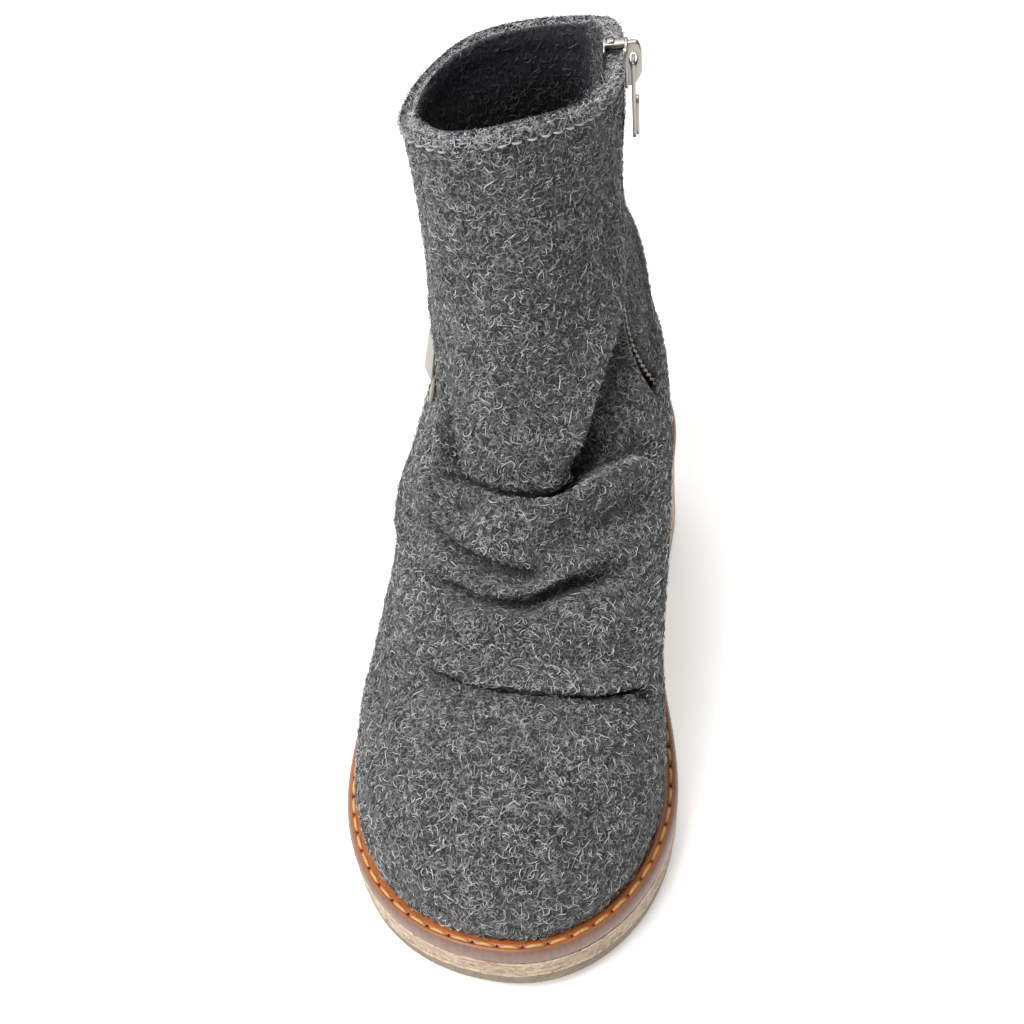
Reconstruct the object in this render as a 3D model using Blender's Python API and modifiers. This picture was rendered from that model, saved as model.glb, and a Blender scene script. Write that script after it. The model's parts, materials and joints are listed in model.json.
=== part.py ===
"""Wedge ankle bootie, right foot: a felt upper on a leather welt, a stacked wedge and an outsole.

Frame: metres, +Z up, the toe points along -Y and the medial (big toe) side along +X.
The origin is on the floor, under the middle of the sole's box.
Driving sizes below are in millimetres; MM turns them into metres when a mesh is made.
"""

from collections import namedtuple
from math import cos, pi, radians, sin

import bmesh
import bpy
import numpy as np

MM = 0.001

# Small steps for slopes along an outline and across the levels, and the distance that welds points
U_STEP = 0.002
LEVEL_STEP = 0.02
WELD = 0.01

# Sole
SOLE_LENGTH = 262.0
TOE_Y = -SOLE_LENGTH / 2
HEEL_Y = SOLE_LENGTH / 2
TOE_SPRING = 4.5
SPRING_START_Y = -62.0
OUTSOLE_THICK = 5.0
FOREFOOT_THICK = 18.8
HEEL_GAIN = 31.5
RISE_START_Y = -70.0
RISE_END_Y = 95.0
WELT_THICK = 6.0
INSOLE_THICK = 3.0
INSOLE_GAP = 1.3
MEDIAL_ARCH = (-72.0, 100.0)
LATERAL_ARCH = (-30.0, 95.0)
MEDIAL_HEEL = (25.0, 125.0)
SOLE_POINTS = 56

# Upper
WALL = 3.0
JOINT_GAP = 0.3
FELT_GAP = 0.5
UPPER_COLUMNS = 46
FELT_SHARP = 75.0

# Zip: its line over the levels, then the tape, the teeth, the slider and the pull
ZIP_COLUMN = 0.26
ZIP_SLOT_HALF = 0.008
ZIP_WARP_REACH = 0.2
ZIP_U_ANKLE = 0.241
ZIP_U_TOP_GAIN = 0.0638
ZIP_TOP_SPAN = (8.0, 11.0)
ZIP_U_LOW_GAIN = 0.052
ZIP_LOW_SPAN = (6.2, 8.2)
ZIP_END_LEVEL = 6.6
TAPE_HALF = 6.5
TAPE_GAP = 1.0
TAPE_THICK = 0.9
TAPE_TOP_LEVEL = 10.9
TAPE_POINTS = 5
TEETH_HALF = 1.5
TEETH_DEPTH = 0.7
TEETH_END_LEVEL = 6.75
TEETH_POINTS = 2
SLIDER_LEVEL = 10.72
SLIDER_SIZE = (1.8, 9.6, 15.0)
SLIDER_LIFT = 0.6
SLIDER_CORNER = 2.6
KEEL_HALF = 1.1
KEEL_HALF_HEIGHT = 3.75
KEEL_DEPTH = 0.35
BRIDGE_HALF_LENGTH = 7.2
BRIDGE_CROWN = 5.2
BRIDGE_WIDTH = 2.4
BRIDGE_HOLE = (3.3, 1.6, 1.15, 2.3)
PULL_AXIS = (3.3, 0.9)
PULL_LENGTH = 27.0
PULL_HALF_WIDTH = 3.3
PULL_TIP_HALF_WIDTH = 2.9
PULL_THICK = 1.2
PULL_BAR = 1.2
PULL_CORNER = 1.0
WINDOW_HALF_WIDTH = 1.9
WINDOW_LENGTH = 9.5

# Side patch and plate on the lateral ankle
PATCH_U = 0.79
PATCH_LEVELS = (7.7, 8.0)
PATCH_HALF = 4.0
PATCH_ROWS = 5
PATCH_POINTS = 5
PATCH_THICK = 0.6
PLATE_LEVEL = 8.25
PLATE_HEIGHT = 16.0
PLATE_TOP_HALF = 3.6
PLATE_FOOT_HALF = 4.5
PLATE_THICK = 1.0
PLATE_TILT = radians(12.0)

# Plan outline: where the toe, medial, heel and lateral extremes lie, how square each quarter
# between them is (2 is an ellipse), and how far the arches and the medial heel are drawn in.
PLAN = "toe_x toe_y med_x med_y heel_x heel_y lat_x lat_y"
PLAN += " toe_med heel_med heel_lat toe_lat arch_med arch_lat heel_draw"
Plan = namedtuple("Plan", PLAN)
SOLE_PLAN = Plan(9, TOE_Y, 54.5, -69, -2.5, HEEL_Y, -54.5, -46, 2.05, 2.25, 2.75, 2.2, 14, 3, 0)

# Sections of the upper from the feather line (level 0) to the collar (level 11):
# the plan outline, then the height over the welt at the toe, medial, heel and lateral extremes.
Section = namedtuple("Section", PLAN + " toe_h med_h heel_h lat_h")
SECTIONS = (
    Section(9, -126.5, 49.7, -69, -2.5, 128.5, -49.8, -46, 2.05, 2.2, 2.7, 2.2, 14, 3, 0, 0.4, 0.4, 0.4, 0.4),
    Section(9, -127.5, 50.0, -66, -2.5, 130.0, -50.3, -44, 2.1, 2.2, 2.7, 2.2, 12, 3, 0, 8, 9, 10, 9),
    Section(8.5, -122.5, 49.4, -60, -2.5, 130.3, -48.8, -40, 2.15, 2.15, 2.6, 2.2, 8, 3, 0, 21, 19, 22, 19),
    Section(7.5, -110.0, 48.2, -52, -2.5, 129.8, -46.8, -34, 2.2, 2.1, 2.5, 2.2, 5, 3, 0, 32.5, 28, 35, 28),
    Section(6, -90.0, 46.8, -40, -3.0, 128.2, -45.2, -26, 2.2, 2.05, 2.4, 2.2, 3, 2, 1, 40, 34, 48, 34),
    Section(4.5, -64.0, 45.4, -20, -3.5, 126.0, -45.5, -12, 2.2, 2.0, 2.3, 2.2, 1.5, 1, 2.5, 46, 38, 61, 38),
    Section(2, -38.0, 42.3, 8, -4.0, 123.0, -46.0, 8, 2.2, 2.0, 2.2, 2.2, 0, 0, 3.5, 56, 42, 75, 42),
    Section(-2, -13.0, 34.3, 36, -4.0, 119.5, -43.0, 26, 2.2, 2.0, 2.1, 2.3, 0, 0, 3.5, 69, 51, 89, 50),
    Section(-6, 4.0, 26.0, 54, -3.0, 116.5, -37.0, 38, 2.15, 2.0, 2.0, 2.3, 0, 0, 2.5, 92, 70, 103, 68),
    Section(-10, 13.0, 22.0, 62, 0.0, 113.5, -37.2, 46, 2.1, 2.0, 1.95, 2.4, 0, 0, 1, 117, 97, 117, 93),
    Section(-13, 16.5, 20.8, 65, 3.0, 111.5, -39.2, 51, 2.1, 2.0, 1.92, 2.4, 0, 0, 0, 141, 125, 130, 120),
    Section(-14, 17.5, 22.0, 65, 5.0, 110.0, -42.0, 53, 2.1, 1.95, 1.88, 2.4, 0, 0, 0, 163, 153, 143, 147),
)
TOP_LEVEL = len(SECTIONS) - 1

# Front corners of the collar that stand over its section: centre, half width and height of each,
# and the levels over which they grow.
Lift = namedtuple("Lift", "u half height")
COLLAR_LIFTS = (Lift(0.84, 0.16, 5.2), Lift(0.085, 0.15, 3.6))
COLLAR_SPAN = (9.0, 11.0)

# Folds of the slouched felt: where each one is centred, how far it runs to the medial and
# lateral side, how its level climbs towards those ends, its half width and its height.
Fold = namedtuple("Fold", "name u level med_reach lat_reach med_climb lat_climb half height")
FOLDS = (
    Fold("instep_tuck", 0.04, 7.0, 0.24, 0.15, -0.5, 0.6, 0.30, -5.0),
    Fold("instep_lip", 0.03, 6.58, 0.24, 0.16, -0.45, 0.35, 0.28, 3.2),
    Fold("vamp_dip", -0.02, 6.2, 0.10, 0.09, 0.0, 0.2, 0.18, -1.8),
    Fold("vamp_crease", 0.03, 5.9, 0.16, 0.10, 0.2, 0.0, 0.20, -2.2),
    Fold("vamp_roll", 0.02, 5.55, 0.20, 0.18, 0.0, 0.0, 0.26, 1.4),
    Fold("toe_lip", 0.0, 5.06, 0.24, 0.19, -0.1, -0.1, 0.17, 1.6),
    Fold("toe_tuck", 0.0, 4.84, 0.24, 0.19, -0.1, -0.1, 0.15, -1.6),
)

# Rows of the upper's grid: closer together across the folds.
Band = namedtuple("Band", "first last rows")
GRID_BANDS = (Band(0.0, 4.56, 8), Band(4.56, 5.2, 6), Band(5.2, 7.4, 12), Band(7.4, TOP_LEVEL, 9))

# Sides of the sole's layers from bottom to top: share of the thickness, and how far it is drawn in.
Edge = namedtuple("Edge", "share inset")
OUTSOLE_EDGES = (Edge(0.0, 2.2), Edge(0.25, 1.0), Edge(1.0, 0.9))
WEDGE_EDGES = (Edge(0.0, 0.5), Edge(0.5, 0.7), Edge(0.92, 0.2), Edge(1.0, 0.6))
WELT_EDGES = (Edge(0.0, 0.9), Edge(0.15, 0.2), Edge(0.75, 0.0), Edge(1.0, 1.2))
INSOLE_EDGES = (Edge(0.0, 0.0), Edge(0.7, 0.0), Edge(1.0, 0.8))

# Finish: linear base colour, roughness and metallic value.
Finish = namedtuple("Finish", "colour roughness metallic")
FINISHES = {
    "felt": Finish((0.085, 0.085, 0.09), 0.95, 0.0),
    "lining": Finish((0.02, 0.02, 0.024), 0.9, 0.0),
    "welt_leather": Finish((0.33, 0.12, 0.04), 0.5, 0.0),
    "stacked_wedge": Finish((0.5, 0.42, 0.31), 0.7, 0.0),
    "outsole": Finish((0.3, 0.26, 0.19), 0.75, 0.0),
    "tape": Finish((0.05, 0.05, 0.055), 0.9, 0.0),
    "nickel": Finish((0.6, 0.58, 0.55), 0.28, 1.0),
    "plate_metal": Finish((0.38, 0.35, 0.32), 0.45, 1.0),
    "patch_leather": Finish((0.2, 0.07, 0.03), 0.55, 0.0),
}


def smoothstep(low, high, value):
    """Smooth 0 to 1 ramp between low and high."""
    t = np.clip((value - low) / (high - low), 0.0, 1.0)
    return t * t * (3.0 - 2.0 * t)


def sole_bottom(y):
    """Height of the outsole's underside: flat, then the toe spring."""
    forward = np.clip((SPRING_START_Y - y) / (SPRING_START_Y - TOE_Y), 0.0, 1.0)
    return TOE_SPRING * forward ** 2


def welt_top(y):
    """Height of the welt's upper face: the wedge climbs from the ball to the heel."""
    return sole_bottom(y) + FOREFOOT_THICK + HEEL_GAIN * smoothstep(RISE_START_Y, RISE_END_Y, y)


def arch(y, span):
    """Share of a draw-in at y, zero at both ends of its span."""
    return np.sin(pi * np.clip((y - span[0]) / (span[1] - span[0]), 0.0, 1.0)) ** 2


def plan_point(u, plan):
    """Plan outline at u: toe 0, medial 0.25, heel 0.5, lateral 0.75, anticlockwise from above."""
    quarter, share = divmod(u % 1.0, 0.25)
    from_tip = share * 2.0 * pi
    heelward = quarter in (1, 2)
    medial = quarter in (0, 1)
    if quarter in (1, 3):
        from_tip = pi / 2 - from_tip
    tip_x, tip_y = (plan.heel_x, plan.heel_y) if heelward else (plan.toe_x, plan.toe_y)
    side_x, side_y = (plan.med_x, plan.med_y) if medial else (plan.lat_x, plan.lat_y)
    power = {0: plan.toe_med, 1: plan.heel_med, 2: plan.heel_lat, 3: plan.toe_lat}[int(quarter)]
    x = tip_x + (side_x - tip_x) * max(sin(from_tip), 0.0) ** (2.0 / power)
    y = side_y + (tip_y - side_y) * max(cos(from_tip), 0.0) ** (2.0 / power)
    if medial:
        return x - plan.arch_med * arch(y, MEDIAL_ARCH) - plan.heel_draw * arch(y, MEDIAL_HEEL), y
    return x + plan.arch_lat * arch(y, LATERAL_ARCH), y


def inset_point(u, plan, inset):
    """Plan outline moved inwards by inset."""
    x, y = plan_point(u, plan)
    x1, y1 = plan_point(u + U_STEP, plan)
    x0, y0 = plan_point(u - U_STEP, plan)
    along = np.array([x1 - x0, y1 - y0])
    along /= np.linalg.norm(along)
    return x - inset * along[1], y + inset * along[0]


def section_at(level):
    """Section at any level, on a smooth curve through the table's rows."""
    rows = np.array(SECTIONS)
    k = int(min(max(level, 0.0), TOP_LEVEL - 1e-9))
    t = level - k
    p1, p2 = rows[k], rows[k + 1]
    p0 = rows[k - 1] if k > 0 else 2 * p1 - p2
    p3 = rows[k + 2] if k + 2 <= TOP_LEVEL else 2 * p2 - p1
    linear = p2 - p0
    square = 2 * p0 - 5 * p1 + 4 * p2 - p3
    cube = 3 * (p1 - p2) + p3 - p0
    return Section(*(p1 + 0.5 * (linear * t + square * t ** 2 + cube * t ** 3)))


def collar_lift(u, level):
    """Height that the collar's front corners add at a point."""
    total = 0.0
    for lift in COLLAR_LIFTS:
        away = abs((u - lift.u + 0.5) % 1.0 - 0.5)
        total += lift.height * cos(pi / 2 * min(away / lift.half, 1.0)) ** 2
    return total * smoothstep(*COLLAR_SPAN, level)


def form_point(u, level):
    """Outer face of the upper without its folds."""
    section = section_at(level)
    x, y = plan_point(u, section)
    end_h = section.heel_h if 0.25 <= u % 1.0 < 0.75 else section.toe_h
    side_h = section.med_h if u % 1.0 < 0.5 else section.lat_h
    height = side_h + (end_h - side_h) * cos(2.0 * pi * u) ** 2
    return np.array([x, y, welt_top(y) + height + collar_lift(u, level)])


def form_normal(u, level):
    """Outward direction of the upper at a point."""
    low, high = max(level - LEVEL_STEP, 0.0), min(level + LEVEL_STEP, TOP_LEVEL)
    around = form_point(u + U_STEP, level) - form_point(u - U_STEP, level)
    upward = form_point(u, high) - form_point(u, low)
    normal = np.cross(around, upward)
    return normal / np.linalg.norm(normal)


def fold_height(u, level):
    """Sum of the folds at a point, outward positive."""
    total = 0.0
    for fold in FOLDS:
        away = (u - fold.u + 0.5) % 1.0 - 0.5
        reach, climb = (fold.med_reach, fold.med_climb) if away > 0 else (fold.lat_reach, fold.lat_climb)
        share = min(abs(away) / reach, 1.0)
        across = (level - fold.level - climb * share ** 2) / fold.half
        if abs(across) < 1.0:
            total += fold.height * cos(pi / 2 * share) ** 2 * (1.0 - across ** 2) ** 2
    return total


def skin_point(u, level, lift=0.0):
    """Outer face of the felt with its folds, raised by lift."""
    return form_point(u, level) + form_normal(u, level) * (fold_height(u, level) + lift)


def zip_u(level):
    """Where the zip runs: upright at the slider and the ankle, leaning between them."""
    top = ZIP_U_TOP_GAIN * smoothstep(*ZIP_TOP_SPAN, level)
    low = ZIP_U_LOW_GAIN * (1.0 - smoothstep(*ZIP_LOW_SPAN, level))
    return ZIP_U_ANKLE + top + low


def column_u(column, level):
    """Grid column turned into u: columns near the zip follow its line."""
    away = (column - ZIP_COLUMN + 0.5) % 1.0 - 0.5
    pull = cos(pi / 2 * min(abs(away) / ZIP_WARP_REACH, 1.0)) ** 2
    return column + (zip_u(level) - ZIP_COLUMN) * pull


def grid_levels():
    """Levels of the upper's rows."""
    levels = []
    for band in GRID_BANDS:
        levels.extend(np.linspace(band.first, band.last, band.rows, endpoint=False))
    return levels + [float(TOP_LEVEL)]


def finish_material(name):
    """Principled material of a finish."""
    finish = FINISHES[name]
    material = bpy.data.materials.new(name)
    material.use_nodes = True
    shader = material.node_tree.nodes["Principled BSDF"]
    shader.inputs["Base Color"].default_value = (*finish.colour, 1.0)
    shader.inputs["Roughness"].default_value = finish.roughness
    shader.inputs["Metallic"].default_value = finish.metallic
    return material


def add_object(name, data, finish, collection):
    """Object with its own material in the collection."""
    data.materials.append(finish_material(finish))
    data.materials[0].name = name + "_" + finish
    obj = bpy.data.objects.new(name, data)
    collection.objects.link(obj)
    return obj


def mesh_from(name, points, faces, sharp=35.0):
    """Mesh from points in millimetres, smooth but for edges sharper than an angle in degrees."""
    mesh = bpy.data.meshes.new(name)
    bm = bmesh.new()
    verts = [bm.verts.new([float(c) * MM for c in point]) for point in points]
    for face in faces:
        bm.faces.new([verts[i] for i in face])
    bmesh.ops.recalc_face_normals(bm, faces=bm.faces)
    bm.to_mesh(mesh)
    bm.free()
    mesh.shade_smooth()
    mesh.set_sharp_from_angle(angle=radians(sharp))
    return mesh


def ring_faces(low, high, count):
    """Quads between two rings of points that start at low and high."""
    return [(low + i, low + (i + 1) % count, high + (i + 1) % count, high + i) for i in range(count)]


def ladder_faces(start, count):
    """Cap of a ring: rungs from the medial to the lateral side, toe to heel."""
    faces = [(start, start + 1, start + count - 1)]
    for i in range(1, count // 2 - 1):
        faces.append((start + i, start + i + 1, start + count - i - 1, start + count - i))
    middle = count // 2
    return faces + [(start + middle - 1, start + middle, start + middle + 1)]


def u_at(y, plan, inset, near, far):
    """Place on one side of an outline, between near and far, that lies at y."""
    for _ in range(40):
        middle = (near + far) / 2
        if inset_point(middle, plan, inset)[1] < y:
            near = middle
        else:
            far = middle
    return near


def layer_outline(plan, inset):
    """Outline points in pairs at equal y, so that each rung across the layer is level."""
    half = SOLE_POINTS // 2
    toe, heel = inset_point(0.0, plan, inset), inset_point(0.5, plan, inset)
    shares = [(1.0 - cos(pi * k / half)) / 2 for k in range(1, half)]
    stations = [toe[1] + (heel[1] - toe[1]) * share for share in shares]
    medial = [inset_point(u_at(y, plan, inset, 0.0, 0.5), plan, inset) for y in stations]
    lateral = [inset_point(u_at(y, plan, inset, 1.0, 0.5), plan, inset) for y in stations]
    return [toe, *medial, heel, *reversed(lateral)]


def layer(name, plan, edges, bottom, top, inset, finish, collection):
    """Sole layer: the plan outline between two heights, with a shaped side."""
    points, faces = [], []
    for edge in edges:
        for x, y in layer_outline(plan, inset + edge.inset):
            points.append((x, y, bottom(y) + edge.share * (top(y) - bottom(y))))
    for row in range(len(edges) - 1):
        faces += ring_faces(row * SOLE_POINTS, (row + 1) * SOLE_POINTS, SOLE_POINTS)
    faces += ladder_faces(0, SOLE_POINTS)
    faces += ladder_faces((len(edges) - 1) * SOLE_POINTS, SOLE_POINTS)
    return add_object(name, mesh_from(name, points, faces), finish, collection)


def build_sole(collection):
    """Outsole, wedge, welt and insole, one on the other."""
    def outsole_top(y):
        return sole_bottom(y) + OUTSOLE_THICK

    def wedge_bottom(y):
        return outsole_top(y) + JOINT_GAP

    def welt_bottom(y):
        return welt_top(y) - WELT_THICK

    def wedge_top(y):
        return welt_bottom(y) - JOINT_GAP

    def insole_bottom(y):
        return welt_top(y) + FELT_GAP

    def insole_top(y):
        return insole_bottom(y) + INSOLE_THICK

    foot = Plan(*SECTIONS[0][:len(Plan._fields)])
    inside = WALL + INSOLE_GAP
    layer("outsole", SOLE_PLAN, OUTSOLE_EDGES, sole_bottom, outsole_top, 0.0, "outsole", collection)
    layer("wedge", SOLE_PLAN, WEDGE_EDGES, wedge_bottom, wedge_top, 0.0, "stacked_wedge", collection)
    layer("welt", SOLE_PLAN, WELT_EDGES, welt_bottom, welt_top, 0.0, "welt_leather", collection)
    layer("insole", foot, INSOLE_EDGES, insole_bottom, insole_top, inside, "lining", collection)


def build_upper(collection):
    """Felt upper: one wall from the welt to the collar, slit along the zip."""
    levels = grid_levels()
    first, last = ZIP_COLUMN + ZIP_SLOT_HALF, ZIP_COLUMN + 1.0 - ZIP_SLOT_HALF
    columns = np.linspace(first, last, UPPER_COLUMNS)
    points = [skin_point(column_u(c, level), level) for level in levels for c in columns]
    faces = []
    for row, level in enumerate(levels[:-1]):
        quads = ring_faces(row * UPPER_COLUMNS, (row + 1) * UPPER_COLUMNS, UPPER_COLUMNS)
        slit = level >= ZIP_END_LEVEL
        faces += quads[:-1] if slit else quads
    upper = add_object("upper", mesh_from("upper", points, faces, FELT_SHARP), "felt", collection)
    wall = upper.modifiers.new("wall", "SOLIDIFY")
    wall.thickness = WALL * MM
    wall.offset = -1.0
    wall.use_even_offset = True
    wall.use_quality_normals = True
    return upper


def strip(name, rows, finish, collection):
    """Closed band from rows of rectangular sections, each a loop of points."""
    count = len(rows[0])
    points = [point for row in rows for point in row]
    faces = []
    for row in range(len(rows) - 1):
        faces += ring_faces(row * count, (row + 1) * count, count)
    half = count // 2
    for start in (0, (len(rows) - 1) * count):
        for i in range(half - 1):
            faces.append((start + i, start + i + 1, start + count - i - 2, start + count - i - 1))
    return add_object(name, mesh_from(name, points, faces), finish, collection)


def surface_loop(u, level, half, depths, steps):
    """Loop across a band on the upper: outer points one way, inner points back."""
    along = form_point(u + U_STEP, level) - form_point(u - U_STEP, level)
    per_mm = 2.0 * U_STEP / np.linalg.norm(along)
    offsets = np.linspace(-half, half, steps)
    outer = [skin_point(u + w * per_mm, level, depths[0]) for w in offsets]
    inner = [skin_point(u + w * per_mm, level, depths[1]) for w in reversed(offsets)]
    return outer + inner


def build_zip_band(collection):
    """Zip tape behind the slit and the closed rows of teeth in it."""
    face = -(WALL + TAPE_GAP)
    tape_depths = (face, face - TAPE_THICK)
    teeth_depths = (-TEETH_DEPTH, face + JOINT_GAP)
    levels = [level for level in grid_levels() if level >= ZIP_END_LEVEL]
    levels[-1] = TAPE_TOP_LEVEL
    toothed = [level for level in levels if level >= TEETH_END_LEVEL]
    tape = [surface_loop(zip_u(lv), lv, TAPE_HALF, tape_depths, TAPE_POINTS) for lv in levels]
    teeth = [surface_loop(zip_u(lv), lv, TEETH_HALF, teeth_depths, TEETH_POINTS) for lv in toothed]
    strip("zip_tape", tape, "tape", collection)
    strip("zip_teeth", teeth, "nickel", collection)


def outline_curve(name, loops, thickness, bevel, finish, collection):
    """Flat plate from closed outlines in its XY plane, in millimetres."""
    curve = bpy.data.curves.new(name, "CURVE")
    curve.dimensions = "2D"
    curve.fill_mode = "BOTH"
    curve.extrude = (thickness / 2 - bevel) * MM
    curve.bevel_depth = bevel * MM
    curve.bevel_resolution = 1
    curve.offset = -bevel * MM
    for loop in loops:
        spline = curve.splines.new("POLY")
        spline.points.add(len(loop) - 1)
        for point, (x, y) in zip(spline.points, loop):
            point.co = (x * MM, y * MM, 0.0, 1.0)
        spline.use_cyclic_u = True
    return add_object(name, curve, finish, collection)


def arc(centre, radii, start, end, steps):
    """Points on an ellipse arc, angles in degrees."""
    angles = np.radians(np.linspace(start, end, steps))
    return [(centre[0] + radii[0] * cos(a), centre[1] + radii[1] * sin(a)) for a in angles]


def upright_frame(u, level):
    """Skin point and the heading, in radians, of its level outward direction."""
    normal = form_normal(u, level)
    return skin_point(u, level), np.arctan2(normal[1], normal[0])


def plate_turn(heading, tilt=0.0):
    """Rotation that stands a flat outline up: its X runs along the skin, its Y up, its Z outward."""
    return (pi / 2 + tilt, 0.0, heading + pi / 2)


def join_bodies(target, others):
    """One solid from overlapping ones."""
    for other in others:
        union = target.modifiers.new(other.name, "BOOLEAN")
        union.operation = "UNION"
        union.object = other


def build_slider(collection, cutters):
    """Zip slider: a plate on the teeth, a keel in the slit and a pierced bridge."""
    spot, heading = upright_frame(zip_u(SLIDER_LEVEL), SLIDER_LEVEL)
    place = bpy.data.objects.new("slider_place", None)
    place.location = [c * MM for c in spot]
    place.rotation_euler = (0.0, 0.0, heading)
    collection.objects.link(place)
    thick, width, height = SLIDER_SIZE

    def block(name, low, high, bevel, into):
        mesh = bpy.data.meshes.new(name)
        bm = bmesh.new()
        bmesh.ops.create_cube(bm, size=1.0)
        size = [(b - a) * MM for a, b in zip(low, high)]
        middle = [(a + b) / 2 * MM for a, b in zip(low, high)]
        bmesh.ops.scale(bm, vec=size, verts=bm.verts)
        bmesh.ops.translate(bm, vec=middle, verts=bm.verts)
        if bevel:
            upright = [e for e in bm.edges if abs(e.verts[0].co.x - e.verts[1].co.x) > thick / 2 * MM]
            bmesh.ops.bevel(bm, geom=upright, offset=bevel * MM, segments=3, affect="EDGES", profile=0.5)
        bm.to_mesh(mesh)
        bm.free()
        obj = add_object(name, mesh, "nickel", into)
        obj.parent = place
        return obj

    body_low = (SLIDER_LIFT, -width / 2, -height / 2)
    body_high = (SLIDER_LIFT + thick, width / 2, height / 2)
    body = block("zip_slider", body_low, body_high, SLIDER_CORNER, collection)
    foot = SLIDER_LIFT + thick / 2
    keel_low = (-KEEL_DEPTH, -KEEL_HALF, -KEEL_HALF_HEIGHT)
    keel = block("slider_keel", keel_low, (foot, KEEL_HALF, KEEL_HALF_HEIGHT), 0.0, cutters)

    hole_x, hole_z, hole_half_x, hole_half_z = BRIDGE_HOLE
    dome = arc((foot, 0.0), (BRIDGE_CROWN - foot, BRIDGE_HALF_LENGTH), -90, 90, 13)
    eye = arc((hole_x, hole_z), (hole_half_x, hole_half_z), 0, 330, 12)
    bridge = outline_curve("slider_bridge_outline", [dome, eye], BRIDGE_WIDTH, 0.0, "nickel", cutters)
    bridge.parent = place
    bridge.rotation_euler = (pi / 2, 0.0, 0.0)
    bridge_solid = mesh_of_curve(bridge, "slider_bridge", cutters)
    join_bodies(body, (keel, bridge_solid))
    return place


def mesh_of_curve(curve_object, name, collection):
    """Mesh copy of a curve with its caps welded; the curve is removed."""
    bpy.context.view_layer.update()
    depsgraph = bpy.context.evaluated_depsgraph_get()
    mesh = bpy.data.meshes.new_from_object(curve_object.evaluated_get(depsgraph))
    bm = bmesh.new()
    bm.from_mesh(mesh)
    bmesh.ops.remove_doubles(bm, verts=bm.verts, dist=WELD * MM)
    bmesh.ops.recalc_face_normals(bm, faces=bm.faces)
    bm.to_mesh(mesh)
    bm.free()
    solid = bpy.data.objects.new(name, mesh)
    solid.matrix_world = curve_object.matrix_world.copy()
    collection.objects.link(solid)
    bpy.data.objects.remove(curve_object)
    return solid


def build_pull(place, collection):
    """Pull tab: hangs by the bar above its window, which passes through the bridge's eye."""
    axis_out, axis_up = PULL_AXIS
    hinge = bpy.data.objects.new("pull_hinge_axis", None)
    hinge.parent = place
    hinge.location = (axis_out * MM, 0.0, axis_up * MM)
    collection.objects.link(hinge)
    bar_top = PULL_BAR / 2
    foot = bar_top - PULL_LENGTH
    wide, tip, corner = PULL_HALF_WIDTH, PULL_TIP_HALF_WIDTH, PULL_CORNER
    outer = arc((0.0, foot + tip), (tip, tip), 180, 360, 9)
    outer += arc((wide - corner, bar_top - corner), (corner, corner), 0, 90, 4)
    outer += arc((corner - wide, bar_top - corner), (corner, corner), 90, 180, 4)
    low = -PULL_BAR / 2 - WINDOW_LENGTH
    high = -PULL_BAR / 2
    side = WINDOW_HALF_WIDTH
    window = [(side, high), (-side, high)] + arc((0.0, low + side), (side, side), 180, 360, 7)
    pull = outline_curve("zip_pull", [outer, window], PULL_THICK, 0.0, "nickel", collection)
    pull.parent = hinge
    pull.rotation_euler = (pi / 2, 0.0, pi / 2)
    return pull


def build_side_patch(collection):
    """Leather patch on the lateral ankle and the bare metal plate above it, which flares off the felt."""
    levels = np.linspace(*PATCH_LEVELS, PATCH_ROWS)
    depths = (FELT_GAP + PATCH_THICK, FELT_GAP)
    patch = [surface_loop(PATCH_U, level, PATCH_HALF, depths, PATCH_POINTS) for level in levels]
    strip("side_patch", patch, "patch_leather", collection)

    spot, heading = upright_frame(PATCH_U, PLATE_LEVEL)
    half = PLATE_HEIGHT / 2
    foot = [(-PLATE_FOOT_HALF, -half), (PLATE_FOOT_HALF, -half)]
    head = [(PLATE_TOP_HALF, half), (-PLATE_TOP_HALF, half)]
    plate = outline_curve("side_plate", [foot + head], PLATE_THICK, 0.0, "plate_metal", collection)
    clear = FELT_GAP + PLATE_THICK / 2 + half * sin(PLATE_TILT)
    outward = np.array([cos(heading), sin(heading), 0.0])
    plate.location = [c * MM for c in spot + outward * clear]
    plate.rotation_euler = plate_turn(heading, -PLATE_TILT)
    return plate


def clear_scene():
    """Empty the scene of objects."""
    for obj in list(bpy.data.objects):
        bpy.data.objects.remove(obj)


def main():
    clear_scene()
    parts = bpy.data.collections.new("wedge_ankle_bootie")
    cutters = bpy.data.collections.new("cutters")
    for collection in (parts, cutters):
        bpy.context.scene.collection.children.link(collection)
    build_sole(parts)
    build_upper(parts)
    build_zip_band(parts)
    place = build_slider(parts, cutters)
    build_pull(place, parts)
    build_side_patch(parts)
    for obj in cutters.objects:
        obj.hide_render = True
        obj.display_type = "WIRE"
    bpy.context.view_layer.update()


main()
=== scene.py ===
"""Looks of the wedge ankle bootie, right foot, laid out as an add-on and run as a script.

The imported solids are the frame. The folded felt upper and its loose fibres, the stitched welt, the
streaked wedge, the zip and the side plate are built over them from the same sizes.
Sizes in the tables are millimetres, and MM turns them into metres when a mesh is made.
"""

import json
from collections import namedtuple
from functools import lru_cache, partial
from math import cos, pi, radians, sin

import bmesh
import bpy
import numpy as np
from bpy.props import FloatProperty, FloatVectorProperty, IntProperty, PointerProperty
from bpy.types import Operator, Panel, PropertyGroup
from mathutils import Euler, Matrix, Quaternion, Vector


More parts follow.
